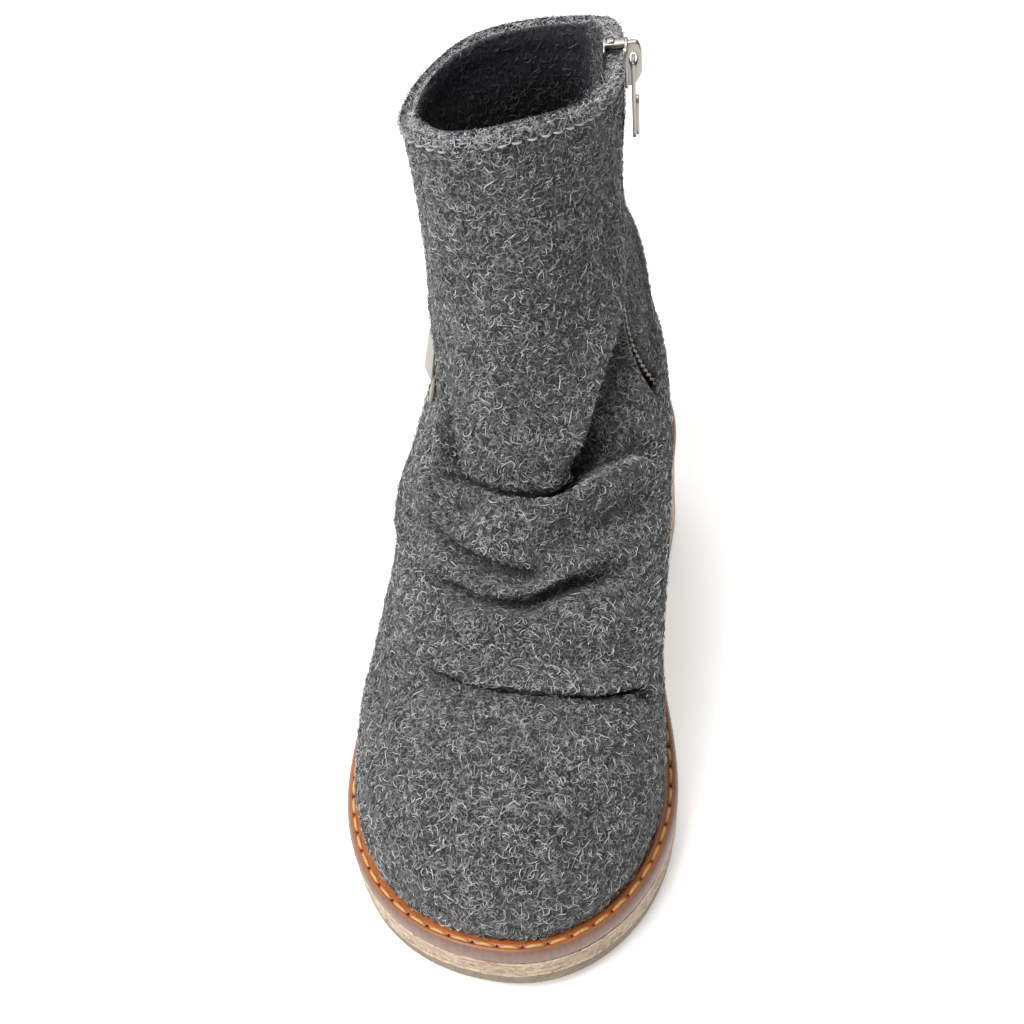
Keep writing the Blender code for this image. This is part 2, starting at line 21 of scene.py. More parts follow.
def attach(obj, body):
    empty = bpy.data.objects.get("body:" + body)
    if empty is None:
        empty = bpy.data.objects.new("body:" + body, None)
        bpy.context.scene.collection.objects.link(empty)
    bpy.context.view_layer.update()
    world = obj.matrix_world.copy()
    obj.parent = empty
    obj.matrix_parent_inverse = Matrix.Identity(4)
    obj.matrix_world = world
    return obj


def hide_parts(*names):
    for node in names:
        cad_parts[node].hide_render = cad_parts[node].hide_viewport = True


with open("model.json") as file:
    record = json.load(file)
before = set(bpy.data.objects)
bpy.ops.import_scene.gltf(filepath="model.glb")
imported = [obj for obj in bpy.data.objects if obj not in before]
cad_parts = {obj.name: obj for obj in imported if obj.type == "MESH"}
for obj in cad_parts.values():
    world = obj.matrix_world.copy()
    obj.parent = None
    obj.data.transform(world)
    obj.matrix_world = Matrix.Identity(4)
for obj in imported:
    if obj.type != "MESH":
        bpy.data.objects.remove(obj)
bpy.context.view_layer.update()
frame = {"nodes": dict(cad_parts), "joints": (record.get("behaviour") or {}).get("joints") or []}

bl_info = {
    "name": "Wedge ankle bootie",
    "version": (1, 0, 0),
    "blender": (4, 5, 0),
    "location": "View3D > Sidebar > Bootie",
    "description": "Builds the felt, the stitched sole and the zip of a wedge ankle bootie",
    "category": "Object",
}

MM = 0.001
U_STEP = 0.002
LEVEL_STEP = 0.02
ROUND_STEPS = 6

# Angles in degrees over which the edges of a mesh stay sharp
LEATHER_CORNER = 50.0
HARD_CORNER = 40.0

# Sole, the same sizes as its solids
SOLE_LENGTH = 262.0
TOE_Y = -SOLE_LENGTH / 2
HEEL_Y = SOLE_LENGTH / 2
TOE_SPRING = 4.5
SPRING_START_Y = -62.0
OUTSOLE_THICK = 5.0
FOREFOOT_THICK = 18.8
HEEL_GAIN = 31.5
RISE_START_Y = -70.0
RISE_END_Y = 95.0
WELT_THICK = 6.0
MEDIAL_ARCH = (-72.0, 100.0)
LATERAL_ARCH = (-30.0, 95.0)
MEDIAL_HEEL = (25.0, 125.0)
LAYER_GAP = 0.3
SOLE_STATIONS = 260
OUTLINE_SAMPLES = 4000

# Upper
WALL = 3.0
HEM_EXTRA = 0.9
HEM_SPAN = (6.0, 9.0)
HEM_STITCH_DROP = 5.6
HEM_DENT = 0.35
HEM_DENT_HALF = 1.1
HEM_ENDS = (0.03, 0.97)
HEM_SAMPLES = 600
RIM_STEPS = 7
RIM_RISE = 2.0
RIM_LEVEL_STEP = 0.2
WALL_COLUMNS = 290
FRONT_CLOSENESS = 0.35
SLOT_COLUMNS = 3
INNER_EVERY = 6
LINING_ROWS = 14
LINING_COLUMNS = 10
INNER_CLOSE_ROWS = 9
CREASE_ROWS = 10
CREASE_COLUMNS = 7
CREASE_BARE = 6.0
CREASE_LEAST = 0.1
FACING_THICK = 1.7
FACING_SPAN = (25.0, 27.0)
FACING_LEVELS = (8.5, 8.7)
FACING_REACH = 0.3
FACING_STITCH_COLUMNS = 6
COLLAR_RISE = 3.0
COLLAR_RISE_SPAN = (9.6, 11.0)
COLLAR_RISE_AWAY = (0.02, 0.12)
FREE_SPAN = (0.5, 2.5)
ZIP_CALM_SPAN = (1.0, 8.0)
SLIT_ROUND = 2.0
SLIT_SINK = 0.9

# Zip
ZIP_COLUMN = 0.26
ZIP_SLOT_HALF = 0.0066
ZIP_WARP_REACH = 0.2
ZIP_U_ANKLE = 0.241
ZIP_U_TOP_GAIN = 0.0638
ZIP_TOP_SPAN = (8.0, 11.0)
ZIP_U_LOW_GAIN = 0.052
ZIP_LOW_SPAN = (6.2, 8.2)
ZIP_END_LEVEL = 6.6
ZIP_FOOT_SPAN = (ZIP_END_LEVEL - 0.4, ZIP_END_LEVEL + 0.1)
TEETH_LEVELS = (6.78, 10.6)
TEETH_SAMPLES = 400
TOOTH_SIZE = (1.2, 1.3, 0.95)
TOOTH_ROUND = 0.3
TOOTH_ASIDE = 0.5
TOOTH_DEPTH = 0.7
STOP_AT = (-3.6, 0.0, 6.6)
STOP_SIZE = (2.6, 3.6, 2.6)
STOP_ROUND = 0.5
SLIDER_LEVEL = 10.72
SLIDER_SIZE = (1.8, 9.6, 15.0)
SLIDER_LIFT = 0.6
SLIDER_EDGE = 0.35
SHIELD_SIDE = ((0.72, -1.0), (1.0, 0.0), (1.0, 0.8), (0.5, 1.0))
SHIELD_THICK = 1.1
SHIELD_ROUND = 1.4
BACK_THICK = 0.9
BACK_DEPTH = 2.5
BRIDGE_HALF_LENGTH = 7.2
BRIDGE_CROWN = 6.0
BRIDGE_WIDTH = 2.4
BRIDGE_SINK = 0.3
BRIDGE_DROPS = (2.4, 1.2)
BRIDGE_FLATS = (0.45, 0.6)
BRIDGE_ROUND = 1.1
BRIDGE_HOLE = (3.3, 1.6, 1.15, 2.3)
NECK_AT = (-2.0, -1.0)
NECK_SIZE = (7.0, 4.6, 1.7)
NECK_ROUND = 0.45
PULL_LENGTH = 27.0
PULL_HALF_WIDTH = 3.3
PULL_TIP_HALF_WIDTH = 2.9
PULL_THICK = 1.2
PULL_BAR = 1.2
PULL_WAIST = -6.0
PULL_ROUND = 1.0
WINDOW_HALF_WIDTH = 1.9
WINDOW_LENGTH = 9.5
GRIP_TOP = -13.6
GRIP_CROWN = 1.4
GRIP_THICK = 1.3
GRIP_PROUD = 0.35
GRIP_EDGE = 0.4
GRIP_LIFT = 0.3
GRIP_INSET = 0.6
GRIP_TOP_INSET = 0.5
THIN_EDGE = 0.3

# Side patch and plate
PATCH_U = 0.79
PATCH_LEVELS = (7.7, 8.0)
PATCH_HALF = 4.0
PATCH_LIFT = 0.5
PATCH_THICK = 0.6
PATCH_ROWS = 30
PATCH_COLUMNS = 14
PLATE_LEVEL = 8.25
PLATE_HEIGHT = 16.0
PLATE_TOP_HALF = 3.6
PLATE_FOOT_HALF = 4.5
PLATE_THICK = 1.0
PLATE_ROUND = 1.0
PLATE_TILT = radians(12.0)
PLATE_TURN = radians(17.0)
PLATE_STAND_OFF = -0.6

# Plan outline: where the toe, medial, heel and lateral extremes lie, how square each quarter
# between them is (2 is an ellipse), and how far the arches and the medial heel are drawn in.
PLAN = "toe_x toe_y med_x med_y heel_x heel_y lat_x lat_y"
PLAN += " toe_med heel_med heel_lat toe_lat arch_med arch_lat heel_draw"
Plan = namedtuple("Plan", PLAN)
SOLE_PLAN = Plan(9, TOE_Y, 54.5, -69, -2.5, HEEL_Y, -54.5, -46, 2.05, 2.25, 2.75, 2.2, 14, 3, 0)

# Sections of the upper from the feather line (level 0) to the collar (level 11):
# the plan outline, then the height over the welt at the toe, medial, heel and lateral extremes.
Section = namedtuple("Section", PLAN + " toe_h med_h heel_h lat_h")
SECTIONS = np.array((
    (9, -126.5, 49.7, -69, -2.5, 128.5, -49.8, -46, 2.05, 2.2, 2.7, 2.2, 14, 3, 0, 0.4, 0.4, 0.4, 0.4),
    (9, -127.5, 50.0, -66, -2.5, 130.0, -50.3, -44, 2.1, 2.2, 2.7, 2.2, 12, 3, 0, 8, 9, 10, 9),
    (8.5, -122.5, 49.4, -60, -2.5, 130.3, -48.8, -40, 2.15, 2.15, 2.6, 2.2, 8, 3, 0, 21, 19, 22, 19),
    (7.5, -110.0, 48.2, -52, -2.5, 129.8, -46.8, -34, 2.2, 2.1, 2.5, 2.2, 5, 3, 0, 32.5, 28, 35, 28),
    (6, -90.0, 46.8, -40, -3.0, 128.2, -45.2, -26, 2.2, 2.05, 2.4, 2.2, 3, 2, 1, 40, 34, 48, 34),
    (4.5, -64.0, 45.4, -20, -3.5, 126.0, -45.5, -12, 2.2, 2.0, 2.3, 2.2, 1.5, 1, 2.5, 46, 38, 61, 38),
    (2, -38.0, 42.3, 8, -4.0, 123.0, -46.0, 8, 2.2, 2.0, 2.2, 2.2, 0, 0, 3.5, 56, 42, 75, 42),
    (-2, -13.0, 34.3, 36, -4.0, 119.5, -43.0, 26, 2.2, 2.0, 2.1, 2.3, 0, 0, 3.5, 69, 51, 89, 50),
    (-6, 4.0, 26.0, 54, -3.0, 116.5, -37.0, 38, 2.15, 2.0, 2.0, 2.3, 0, 0, 2.5, 92, 70, 103, 68),
    (-10, 13.0, 22.0, 62, 0.0, 113.5, -37.2, 46, 2.1, 2.0, 1.95, 2.4, 0, 0, 1, 117, 97, 117, 93),
    (-13, 16.5, 20.8, 65, 3.0, 111.5, -39.2, 51, 2.1, 2.0, 1.92, 2.4, 0, 0, 0, 141, 125, 130, 120),
    (-14, 17.5, 22.0, 65, 5.0, 110.0, -42.0, 53, 2.1, 1.95, 1.88, 2.4, 0, 0, 0, 163, 153, 143, 147),
))
TOP_LEVEL = len(SECTIONS) - 1

# Front corners of the collar that stand over its section, and the levels over which they grow.
Lift = namedtuple("Lift", "u half height")
COLLAR_LIFTS = (Lift(0.84, 0.16, 5.2), Lift(0.085, 0.15, 3.6))
COLLAR_SPAN = (9.0, 11.0)

# Rows of the felt's grid: closer together across the folds.
Band = namedtuple("Band", "first last rows")
GRID_BANDS = (Band(0.0, 4.4, 44), Band(4.4, 5.3, 50), Band(5.3, 7.5, 104), Band(7.5, TOP_LEVEL, 50))

# Folds of the slouched felt, laid as lines over the upper from (u, level) points.
# height is outward in mm, and shove is how far the felt is pushed over to the left of the line;
# left and right are how far the fold reaches to either side, seen from outside walking along it;
# sharp runs from 0, a soft roll, to 1, a pinched crease.
Fold = namedtuple("Fold", "name height shove left right sharp path")
FOLDS = (
    Fold("tongue_crease", -11.0, 0.0, 2.4, 3.4, 0.25, (
        (-0.16, 8.4), (-0.137, 8.12), (-0.114, 7.86), (-0.096, 7.56), (-0.086, 7.3), (-0.077, 7.12),
        (-0.062, 7.03), (-0.036, 6.97), (-0.002, 6.94), (0.034, 6.95), (0.066, 7.0), (0.09, 7.07),
        (0.11, 7.13), (0.13, 7.16))),
    Fold("tongue_valley", -1.8, 0.0, 8.0, 6.0, 0.3, (
        (-0.098, 7.56), (-0.087, 7.3), (-0.077, 7.12), (-0.062, 7.03), (-0.036, 6.97), (-0.002, 6.94),
        (0.034, 6.95), (0.066, 7.0), (0.09, 7.07), (0.11, 7.12), (0.14, 7.14))),
    Fold("lateral_pit", -7.0, 0.0, 2.2, 4.4, 0.2, (
        (-0.15, 8.25), (-0.13, 8.0), (-0.11, 7.76), (-0.097, 7.54), (-0.089, 7.3), (-0.08, 7.12), (-0.058, 7.02))),
    Fold("lateral_ridge", 4.2, 2.2, 4.6, 6.0, 0.0, (
        (-0.125, 7.8), (-0.114, 7.5), (-0.107, 7.26), (-0.096, 7.06), (-0.074, 6.92))),
    Fold("medial_valley", -5.0, 0.0, 12.0, 6.0, 0.4, (
        (0.05, 7.02), (0.1, 7.12), (0.14, 7.14), (0.188, 7.04), (0.225, 6.76), (0.262, 6.46))),
    Fold("instep_lip", 5.8, 3.6, 4.6, 13.0, 0.0, (
        (-0.122, 7.4), (-0.112, 7.18), (-0.098, 7.0), (-0.078, 6.88), (-0.048, 6.81), (-0.02, 6.77), (0.01, 6.75),
        (0.04, 6.77), (0.075, 6.85), (0.11, 6.93), (0.145, 6.97), (0.2, 6.84), (0.27, 6.32))),
    Fold("outer_crease", -7.0, 0.0, 3.0, 3.6, 0.3, (
        (-0.137, 7.4), (-0.132, 7.22), (-0.126, 7.06), (-0.116, 6.92), (-0.1, 6.81), (-0.076, 6.73),
        (-0.05, 6.67), (-0.024, 6.62))),
    Fold("lateral_roll", 2.2, 0.0, 6.0, 9.0, 0.0, (
        (-0.16, 7.6), (-0.157, 7.24), (-0.154, 7.0), (-0.138, 6.76), (-0.11, 6.58))),
    Fold("panel_edge", 2.8, 0.0, 1.4, 15.0, 0.2, (
        (0.232, 10.6), (0.235, 9.16), (0.21, 8.68), (0.178, 8.34), (0.157, 8.2), (0.137, 8.02),
        (0.114, 7.76), (0.098, 7.52), (0.083, 7.32), (0.072, 7.16))),
    Fold("medial_hollow", -8.0, 0.0, 17.0, 7.0, 0.3, (
        (0.25, 8.9), (0.232, 8.38), (0.198, 8.14), (0.168, 7.86), (0.14, 7.62), (0.115, 7.38),
        (0.094, 7.18), (0.082, 7.08))),
    Fold("lip_underside", -2.8, 0.0, 6.0, 8.0, 0.0, (
        (0.03, 6.56), (0.07, 6.62), (0.107, 6.64), (0.17, 6.58), (0.22, 6.3))),
    Fold("lip_belly", 3.2, -3.8, 7.5, 3.2, 0.0, (
        (-0.12, 6.86), (-0.1, 6.74), (-0.078, 6.63), (-0.052, 6.51), (-0.024, 6.42), (0.008, 6.34),
        (0.04, 6.36))),
    Fold("vamp_dip", -9.0, 0.0, 4.0, 4.6, 0.4, (
        (-0.12, 6.68), (-0.1, 6.56), (-0.078, 6.46), (-0.052, 6.34), (-0.024, 6.25), (0.008, 6.18),
        (0.04, 6.2))),
    Fold("vamp_ridge", 4.0, -3.6, 6.0, 4.2, 0.0, (
        (-0.13, 6.34), (-0.105, 6.24), (-0.082, 6.17), (-0.047, 6.1), (-0.018, 6.03), (0.01, 6.08),
        (0.048, 6.26), (0.095, 6.36), (0.15, 6.36))),
    Fold("vamp_crease", -8.5, 0.0, 3.4, 6.5, 0.5, (
        (-0.12, 6.12), (-0.09, 6.0), (-0.065, 5.96), (-0.045, 5.9), (-0.013, 5.87), (0.015, 5.92),
        (0.04, 6.02), (0.075, 6.1), (0.122, 6.1), (0.17, 6.06))),
    Fold("vamp_roll", 1.5, 0.0, 12.0, 12.0, 0.0, (
        (-0.12, 5.55), (-0.06, 5.52), (0.0, 5.5), (0.08, 5.55), (0.16, 5.5))),
    Fold("toe_ridge", 3.6, -4.6, 7.0, 2.6, 0.1, (
        (-0.15, 4.97), (-0.12, 5.1), (-0.098, 5.13), (-0.07, 5.09), (-0.035, 5.05), (0.0, 5.04),
        (0.03, 5.02), (0.065, 4.99), (0.1, 4.92), (0.13, 4.85), (0.17, 4.63), (0.21, 4.05), (0.25, 3.3))),
    Fold("toe_tuck", -7.5, 0.0, 2.4, 3.4, 0.35, (
        (-0.16, 4.83), (-0.12, 4.99), (-0.098, 5.03), (-0.07, 4.99), (-0.035, 4.95), (0.0, 4.94),
        (0.03, 4.92), (0.065, 4.89), (0.1, 4.81), (0.13, 4.73), (0.17, 4.48), (0.21, 3.9), (0.257, 3.06))),
    Fold("ankle_fullness", 1.2, 0.0, 18.0, 18.0, 0.0, ((-0.2, 6.9), (-0.225, 6.4), (-0.24, 5.8), (-0.24, 5.3))),
)
FOLD_SAMPLES = 90
FOLD_FADE = 0.2

# Slow waves of the unsupported felt: height, turns around the boot, turns over the levels, start.
Wave = namedtuple("Wave", "height around up start")
WAVES = (Wave(0.45, 3, 0.31, 0.4), Wave(0.35, 5, -0.47, 2.1), Wave(0.25, 8, 0.7, 4.0))

# Loose fibres: where they lie and which hair they are, their share of the count, length and width as
# shares of the settings', how far one turns along its length in radians, how high its middle stands.
Fibre = namedtuple("Fibre", "name where hair share length width turn lift seed")
FIBRES = (
    Fibre("pale", "outside", "pale", 1.03, 0.85, 0.85, 3.6, 0.75, 11),
    Fibre("mid", "outside", "mid", 1.03, 0.9, 0.95, 3.4, 0.6, 12),
    Fibre("dark", "outside", "dark", 0.72, 0.85, 1.1, 3.0, 0.55, 13),
    # The rim's own fibres are all pale hair: the collar's fuzz, made paler as a painted highlight along its edge.
    Fibre("rim", "rim", "pale", 0.16, 0.75, 0.9, 4.5, 1.1, 21),
    Fibre("facing", "facing", "mid", 0.09, 0.8, 0.9, 4.5, 1.0, 23),
    Fibre("lining", "lining", "fleece", 0.6, 0.9, 0.9, 4.0, 0.8, 22),
)
FIBRE_STEPS = 4
FIBRE_SIZES = 0.35
FIBRE_HOOK = 0.6
FIBRE_LIFTS = (0.15, 1.3)
FIBRE_SINK = 0.08
FIBRE_WIDTHS = (0.6, 1.2)
FIBRE_TIP = 0.3
LEAST_CELL = 0.5
SLIT_CLEAR = 0.9
RIM_FIBRE_ROWS = 4
LINING_FIBRE_ROWS = 18
# Fleece fibres lie only near the collar, and this much paler than the lining: painted light falling into the boot, as
# on the lining there.
FLEECE_PALER = 6.5

# Stitches: spacing, length, thread radius, how far each rises and dips, how far it strays.
Stitch = namedtuple("Stitch", "pitch length radius rise dip stray seed")
HEM_STITCH = Stitch(4.4, 3.1, 0.36, 0.75, 0.5, 0.12, 5)
FACING_STITCH = Stitch(3.6, 2.5, 0.3, 0.2, 0.4, 0.1, 6)
WELT_STITCH = Stitch(7.4, 6.3, 0.55, 0.42, 0.75, 0.08, 7)
WELT_STITCH_INSET = 2.4
WELT_STITCH_DROP = 0.35
STITCH_STEPS = 9
STITCH_SIZES = 0.04
STITCH_ARCH = 0.6
STITCH_BLUNT = 6
STITCH_TIP = 0.08
AWL_STEPS = 7
AWL_RADIUS = 0.34
AWL_BLUNT = 4
AWL_TIP = 0.05
AWL_AT = (0.25, 0.06)
AWL_HALF_LENGTH = 0.75

# Sides of the sole's layers from bottom to top: share of the thickness, a rise in mm added to
# it, how far it is drawn in, and how much its corner is rubbed pale.
Edge = namedtuple("Edge", "share rise inset worn", defaults=(0.0,))
OUTSOLE_EDGES = (
    Edge(0.0, 0.0, 2.2), Edge(0.0, 0.35, 1.6), Edge(0.0, 0.9, 1.15), Edge(0.25, 0.0, 1.0), Edge(0.6, 0.0, 0.95),
    Edge(1.0, -0.5, 0.9, 0.3), Edge(1.0, -0.15, 1.0, 0.7), Edge(1.0, 0.0, 1.4, 0.3),
)
WEDGE_EDGES = (
    Edge(0.0, 0.0, 0.9, 0.8), Edge(0.0, 0.3, 0.5, 1.0), Edge(0.0, 0.9, 0.4, 0.8), Edge(0.0, 1.6, 0.5),
    Edge(0.3, 0.0, 0.6), Edge(0.5, 0.0, 0.7), Edge(0.75, 0.0, 0.65), Edge(1.0, -1.3, 0.6), Edge(1.0, -0.7, 0.4, 0.4),
    Edge(1.0, -0.3, 0.4, 0.9), Edge(1.0, -0.1, 0.5, 0.9), Edge(1.0, 0.0, 0.8, 0.5),
)
WELT_EDGES = (
    Edge(0.0, 0.0, 0.9), Edge(0.0, 0.3, 0.4), Edge(0.15, 0.0, 0.2), Edge(0.4, 0.0, 0.0), Edge(0.65, 0.0, 0.05),
    Edge(1.0, -1.3, 0.3), Edge(1.0, -0.75, 0.6), Edge(1.0, -0.35, 0.95), Edge(1.0, -0.1, 1.3), Edge(1.0, 0.0, 1.6),
    Edge(1.0, -0.1, 1.8), Edge(1.0, -0.42, 2.1), Edge(1.0, -0.5, 2.4), Edge(1.0, -0.42, 2.7),
    Edge(1.0, -0.1, 3.0), Edge(1.0, 0.0, 3.4), Edge(1.0, 0.0, 7.0),
)

# Unevenness of the line where the wedge was pressed onto the outsole.
Ripple = namedtuple("Ripple", "height along across start")
RIPPLES = (Ripple(0.14, 0.42, 0.3, 0.0), Ripple(0.14, 1.1, -0.7, 1.0), Ripple(0.1, 2.3, 1.9, 0.0))

# Stage, in metres: the floor, each light's size and place, and where the camera stands, its heading
# and tilt, and the turn that centres the one shoe.
FLOOR_REACH = 0.95
Light = namedtuple("Light", "name size spot")
LIGHTS = (
    Light("key", 0.9, (-0.46, -0.72, 1.45)),
    Light("top", 1.2, (-0.15, 0.9, 1.3)),
    Light("fill", 0.8, (-1.25, 0.0, 0.7)),
)
LIGHT_AIM = Vector((0.0, 0.0, 0.08))
WORLD_LIGHT = 0.07
WHITE = (1.0, 1.0, 1.0, 1.0)
CAMERA_AT = (0.089, -0.364, 0.416)
CAMERA_YAW = radians(6.5)
CAMERA_PITCH = radians(42.5)
CAMERA_PAN = radians(6.2)
CAMERA_LENS = 54.35
CAMERA_SENSOR = 36.0
CAMERA_CLIP = 0.01


def linear(code):
    """Linear colour of an sRGB hex value."""
    channels = [int(code[i:i + 2], 16) / 255 for i in (0, 2, 4)]
    return tuple(c / 12.92 if c <= 0.04045 else ((c + 0.055) / 1.055) ** 2.4 for c in channels)


def colour_setting(name, description, code):
    """Colour property from an sRGB hex value."""
    return FloatVectorProperty(
        name=name, description=description, subtype="COLOR", size=3, min=0.0, max=1.0, default=linear(code))


def length_setting(name, description, size):
    """Length property from a size in millimetres."""
    return FloatProperty(
        name=name, description=description, unit="LENGTH", subtype="DISTANCE", min=0.0, default=size * MM, precision=5)


def power_setting(name, description, power):
    """Light property in watts."""
    return FloatProperty(name=name, description=description, unit="POWER", min=0.0, default=power)


class FeltSettings(PropertyGroup):
    """Felt of the upper, its loose fibres and its lining."""

    # The hollows' colour is partly the wool and partly painted shade between the curls.
    ground_dark: colour_setting("Felt hollows", "Matted wool between the fibres, where it is thin", "141414")
    ground_light: colour_setting("Felt clumps", "Matted wool where it is thick", "868686")
    pale_fibre: colour_setting("Pale fibres", "Lightest loose fibres", "bcbcbc")
    mid_fibre: colour_setting("Mid fibres", "Middle grey loose fibres", "808080")
    dark_fibre: colour_setting("Dark fibres", "Darkest loose fibres", "2e2e2e")
    lining: colour_setting("Lining", "Dark inside of the upper", "1f1f22")
    hem_thread: colour_setting("Hem thread", "Stitches around the collar", "b4b4b4")
    fibre_length: length_setting("Fibre length", "Middle length of a loose fibre", 3.4)
    fibre_width: length_setting("Fibre width", "Width of a loose fibre", 0.3)
    fibre_count: IntProperty(
        name="Fibres", description="Loose fibres of each full share", default=24000, min=0, max=24500)
    fold_depth: FloatProperty(
        name="Fold depth", description="Scale of the slouch folds", subtype="FACTOR", default=1.0, min=0.0, max=1.5)


class SoleSettings(PropertyGroup):
    """Welt, wedge and outsole."""

    welt_top: colour_setting("Welt top", "Waxed top of the welt", "b8652a")
    welt_edge: colour_setting("Welt edge", "Trimmed side of the welt", "8d6e60")
    thread: colour_setting("Welt thread", "Waxed thread of the welt", "e2ae72")
    wedge_light: colour_setting("Wedge light", "Pale grain of the wedge", "e0cab0")
    wedge_dark: colour_setting("Wedge dark", "Dark grain of the wedge", "9a7d64")
    outsole: colour_setting("Outsole", "Flat layer under the wedge", "a09280")
    stitch_pitch: length_setting("Welt stitch pitch", "Spacing of the welt's stitches", WELT_STITCH.pitch)
    stitch_length: length_setting("Welt stitch length", "Length of one welt stitch", WELT_STITCH.length)


class ZipSettings(PropertyGroup):
    """Zip, pull tab, plate and patch."""

    nickel: colour_setting("Nickel", "Plated zip metal", "b3ada5")
    teeth: colour_setting("Teeth", "Tumbled zip teeth", "a39c92")
    plate: colour_setting("Plate", "Blasted plate on the ankle", "bab6b0")
    patch: colour_setting("Patch", "Leather below the plate", "a3968a")
    tape: colour_setting("Tape", "Woven zip tape", "2a2a2e")
    tooth_pitch: length_setting("Tooth pitch", "Spacing of the teeth along the zip", 2.1)


class StageSettings(PropertyGroup):
    """Floor and lights."""

    floor: colour_setting("Floor", "Pale studio floor", "fafaf9")
    key_power: power_setting("Key light", "Power of the large front light", 28.0)
    top_power: power_setting("Top light", "Power of the overhead light", 15.0)
    fill_power: power_setting("Fill light", "Power of the light from the side", 0.8)


def smoothstep(low, high, value):
    """Smooth 0 to 1 ramp between low and high."""
    t = np.clip((value - low) / (high - low), 0.0, 1.0)
    return t * t * (3.0 - 2.0 * t)


def unit(vectors):
    """Vectors made one long."""
    return vectors / np.maximum(np.linalg.norm(vectors, axis=-1, keepdims=True), 1e-9)


def sole_bottom(y):
    """Height of the outsole's underside: flat, then the toe spring."""
    forward = np.clip((SPRING_START_Y - y) / (SPRING_START_Y - TOE_Y), 0.0, 1.0)
    return TOE_SPRING * forward ** 2


def welt_top(y):
    """Height of the welt's upper face: the wedge climbs from the ball to the heel."""
    return sole_bottom(y) + FOREFOOT_THICK + HEEL_GAIN * smoothstep(RISE_START_Y, RISE_END_Y, y)


def arch(y, span):
    """Share of a draw-in at y, zero at both ends of its span."""
    return np.sin(pi * np.clip((y - span[0]) / (span[1] - span[0]), 0.0, 1.0)) ** 2


def plan_points(u, plan):
    """Plan outline at u: toe 0, medial 0.25, heel 0.5, lateral 0.75, anticlockwise from above."""
    u = u % 1.0
    medial = u < 0.5
    heelward = (u >= 0.25) & (u < 0.75)
    toe_power = np.where(medial, plan.toe_med, plan.toe_lat)
    heel_power = np.where(medial, plan.heel_med, plan.heel_lat)
    power = np.where(heelward, heel_power, toe_power)
    tip_x, tip_y = np.where(heelward, plan.heel_x, plan.toe_x), np.where(heelward, plan.heel_y, plan.toe_y)
    side_x, side_y = np.where(medial, plan.med_x, plan.lat_x), np.where(medial, plan.med_y, plan.lat_y)
    x = tip_x + (side_x - tip_x) * np.abs(np.sin(2 * pi * u)) ** (2 / power)
    y = side_y + (tip_y - side_y) * np.abs(np.cos(2 * pi * u)) ** (2 / power)
    medial_x = x - plan.arch_med * arch(y, MEDIAL_ARCH) - plan.heel_draw * arch(y, MEDIAL_HEEL)
    return np.where(medial, medial_x, x + plan.arch_lat * arch(y, LATERAL_ARCH)), y


def smooth_rows(rows, place):
    """Rows of a table at any place between them, on a smooth curve through all of them."""
    rows = np.vstack([2 * rows[0] - rows[1], rows, 2 * rows[-1] - rows[-2]])
    k = np.clip(np.floor(place).astype(int), 0, len(rows) - 4)
    t = (place - k)[..., None]
    p0, p1, p2, p3 = (rows[k + step] for step in range(4))
    square = 2 * p0 - 5 * p1 + 4 * p2 - p3
    cube = 3 * (p1 - p2) + p3 - p0
    return p1 + 0.5 * ((p2 - p0) * t + square * t ** 2 + cube * t ** 3)


def collar_lift(u, level):
    """Height that the collar's front corners add at a point."""
    total = 0.0
    for lift in COLLAR_LIFTS:
        away = np.abs((u - lift.u + 0.5) % 1.0 - 0.5)
        total = total + lift.height * np.cos(pi / 2 * np.minimum(away / lift.half, 1.0)) ** 2
    return total * smoothstep(*COLLAR_SPAN, level)


def form(u, level):
    """Outer face of the upper without its folds."""
    u, level = np.broadcast_arrays(np.asarray(u, float), np.asarray(level, float))
    section = Section(*np.moveaxis(smooth_rows(SECTIONS, level), -1, 0))
    x, y = plan_points(u, section)
    heelward = (u % 1.0 >= 0.25) & (u % 1.0 < 0.75)
    end_h = np.where(heelward, section.heel_h, section.toe_h)
    side_h = np.where(u % 1.0 < 0.5, section.med_h, section.lat_h)
    height = side_h + (end_h - side_h) * np.cos(2 * pi * u) ** 2
    return np.stack([x, y, welt_top(y) + height + collar_lift(u, level)], -1)


def form_normal(u, level):
    """Outward direction of the upper."""
    around = form(u + U_STEP, level) - form(u - U_STEP, level)
    return unit(np.cross(around, form(u, level + LEVEL_STEP) - form(u, np.maximum(level - LEVEL_STEP, 0.0))))


def beside(u, level, offset):
    """u moved along the skin by an offset in millimetres."""
    along = form(u + U_STEP, level) - form(u - U_STEP, level)
    return u + offset * 2 * U_STEP / np.linalg.norm(along, axis=-1)


def rim_slope(u):
    """Distance up the skin for each level at the collar."""
    return np.linalg.norm(form(u, TOP_LEVEL) - form(u, TOP_LEVEL - RIM_LEVEL_STEP), axis=-1) / RIM_LEVEL_STEP


def zip_u(level):
    """Where the zip runs: upright at the slider and the ankle, leaning between them."""
    top = ZIP_U_TOP_GAIN * smoothstep(*ZIP_TOP_SPAN, level)
    low = ZIP_U_LOW_GAIN * (1.0 - smoothstep(*ZIP_LOW_SPAN, level))
    return ZIP_U_ANKLE + top + low


def column_u(column, level):
    """Grid column turned into u: columns near the zip follow its line."""
    away = (column - ZIP_COLUMN + 0.5) % 1.0 - 0.5
    pull = np.cos(pi / 2 * np.minimum(np.abs(away) / ZIP_WARP_REACH, 1.0)) ** 2
    return column + (zip_u(level) - ZIP_COLUMN) * pull


def collar_rise(u, level):
    """Height that the soft collar stands over its solid, less beside the zip."""
    away = np.abs((u - zip_u(TOP_LEVEL) + 0.5) % 1.0 - 0.5)
    return COLLAR_RISE * smoothstep(*COLLAR_RISE_AWAY, away) * smoothstep(*COLLAR_RISE_SPAN, level)


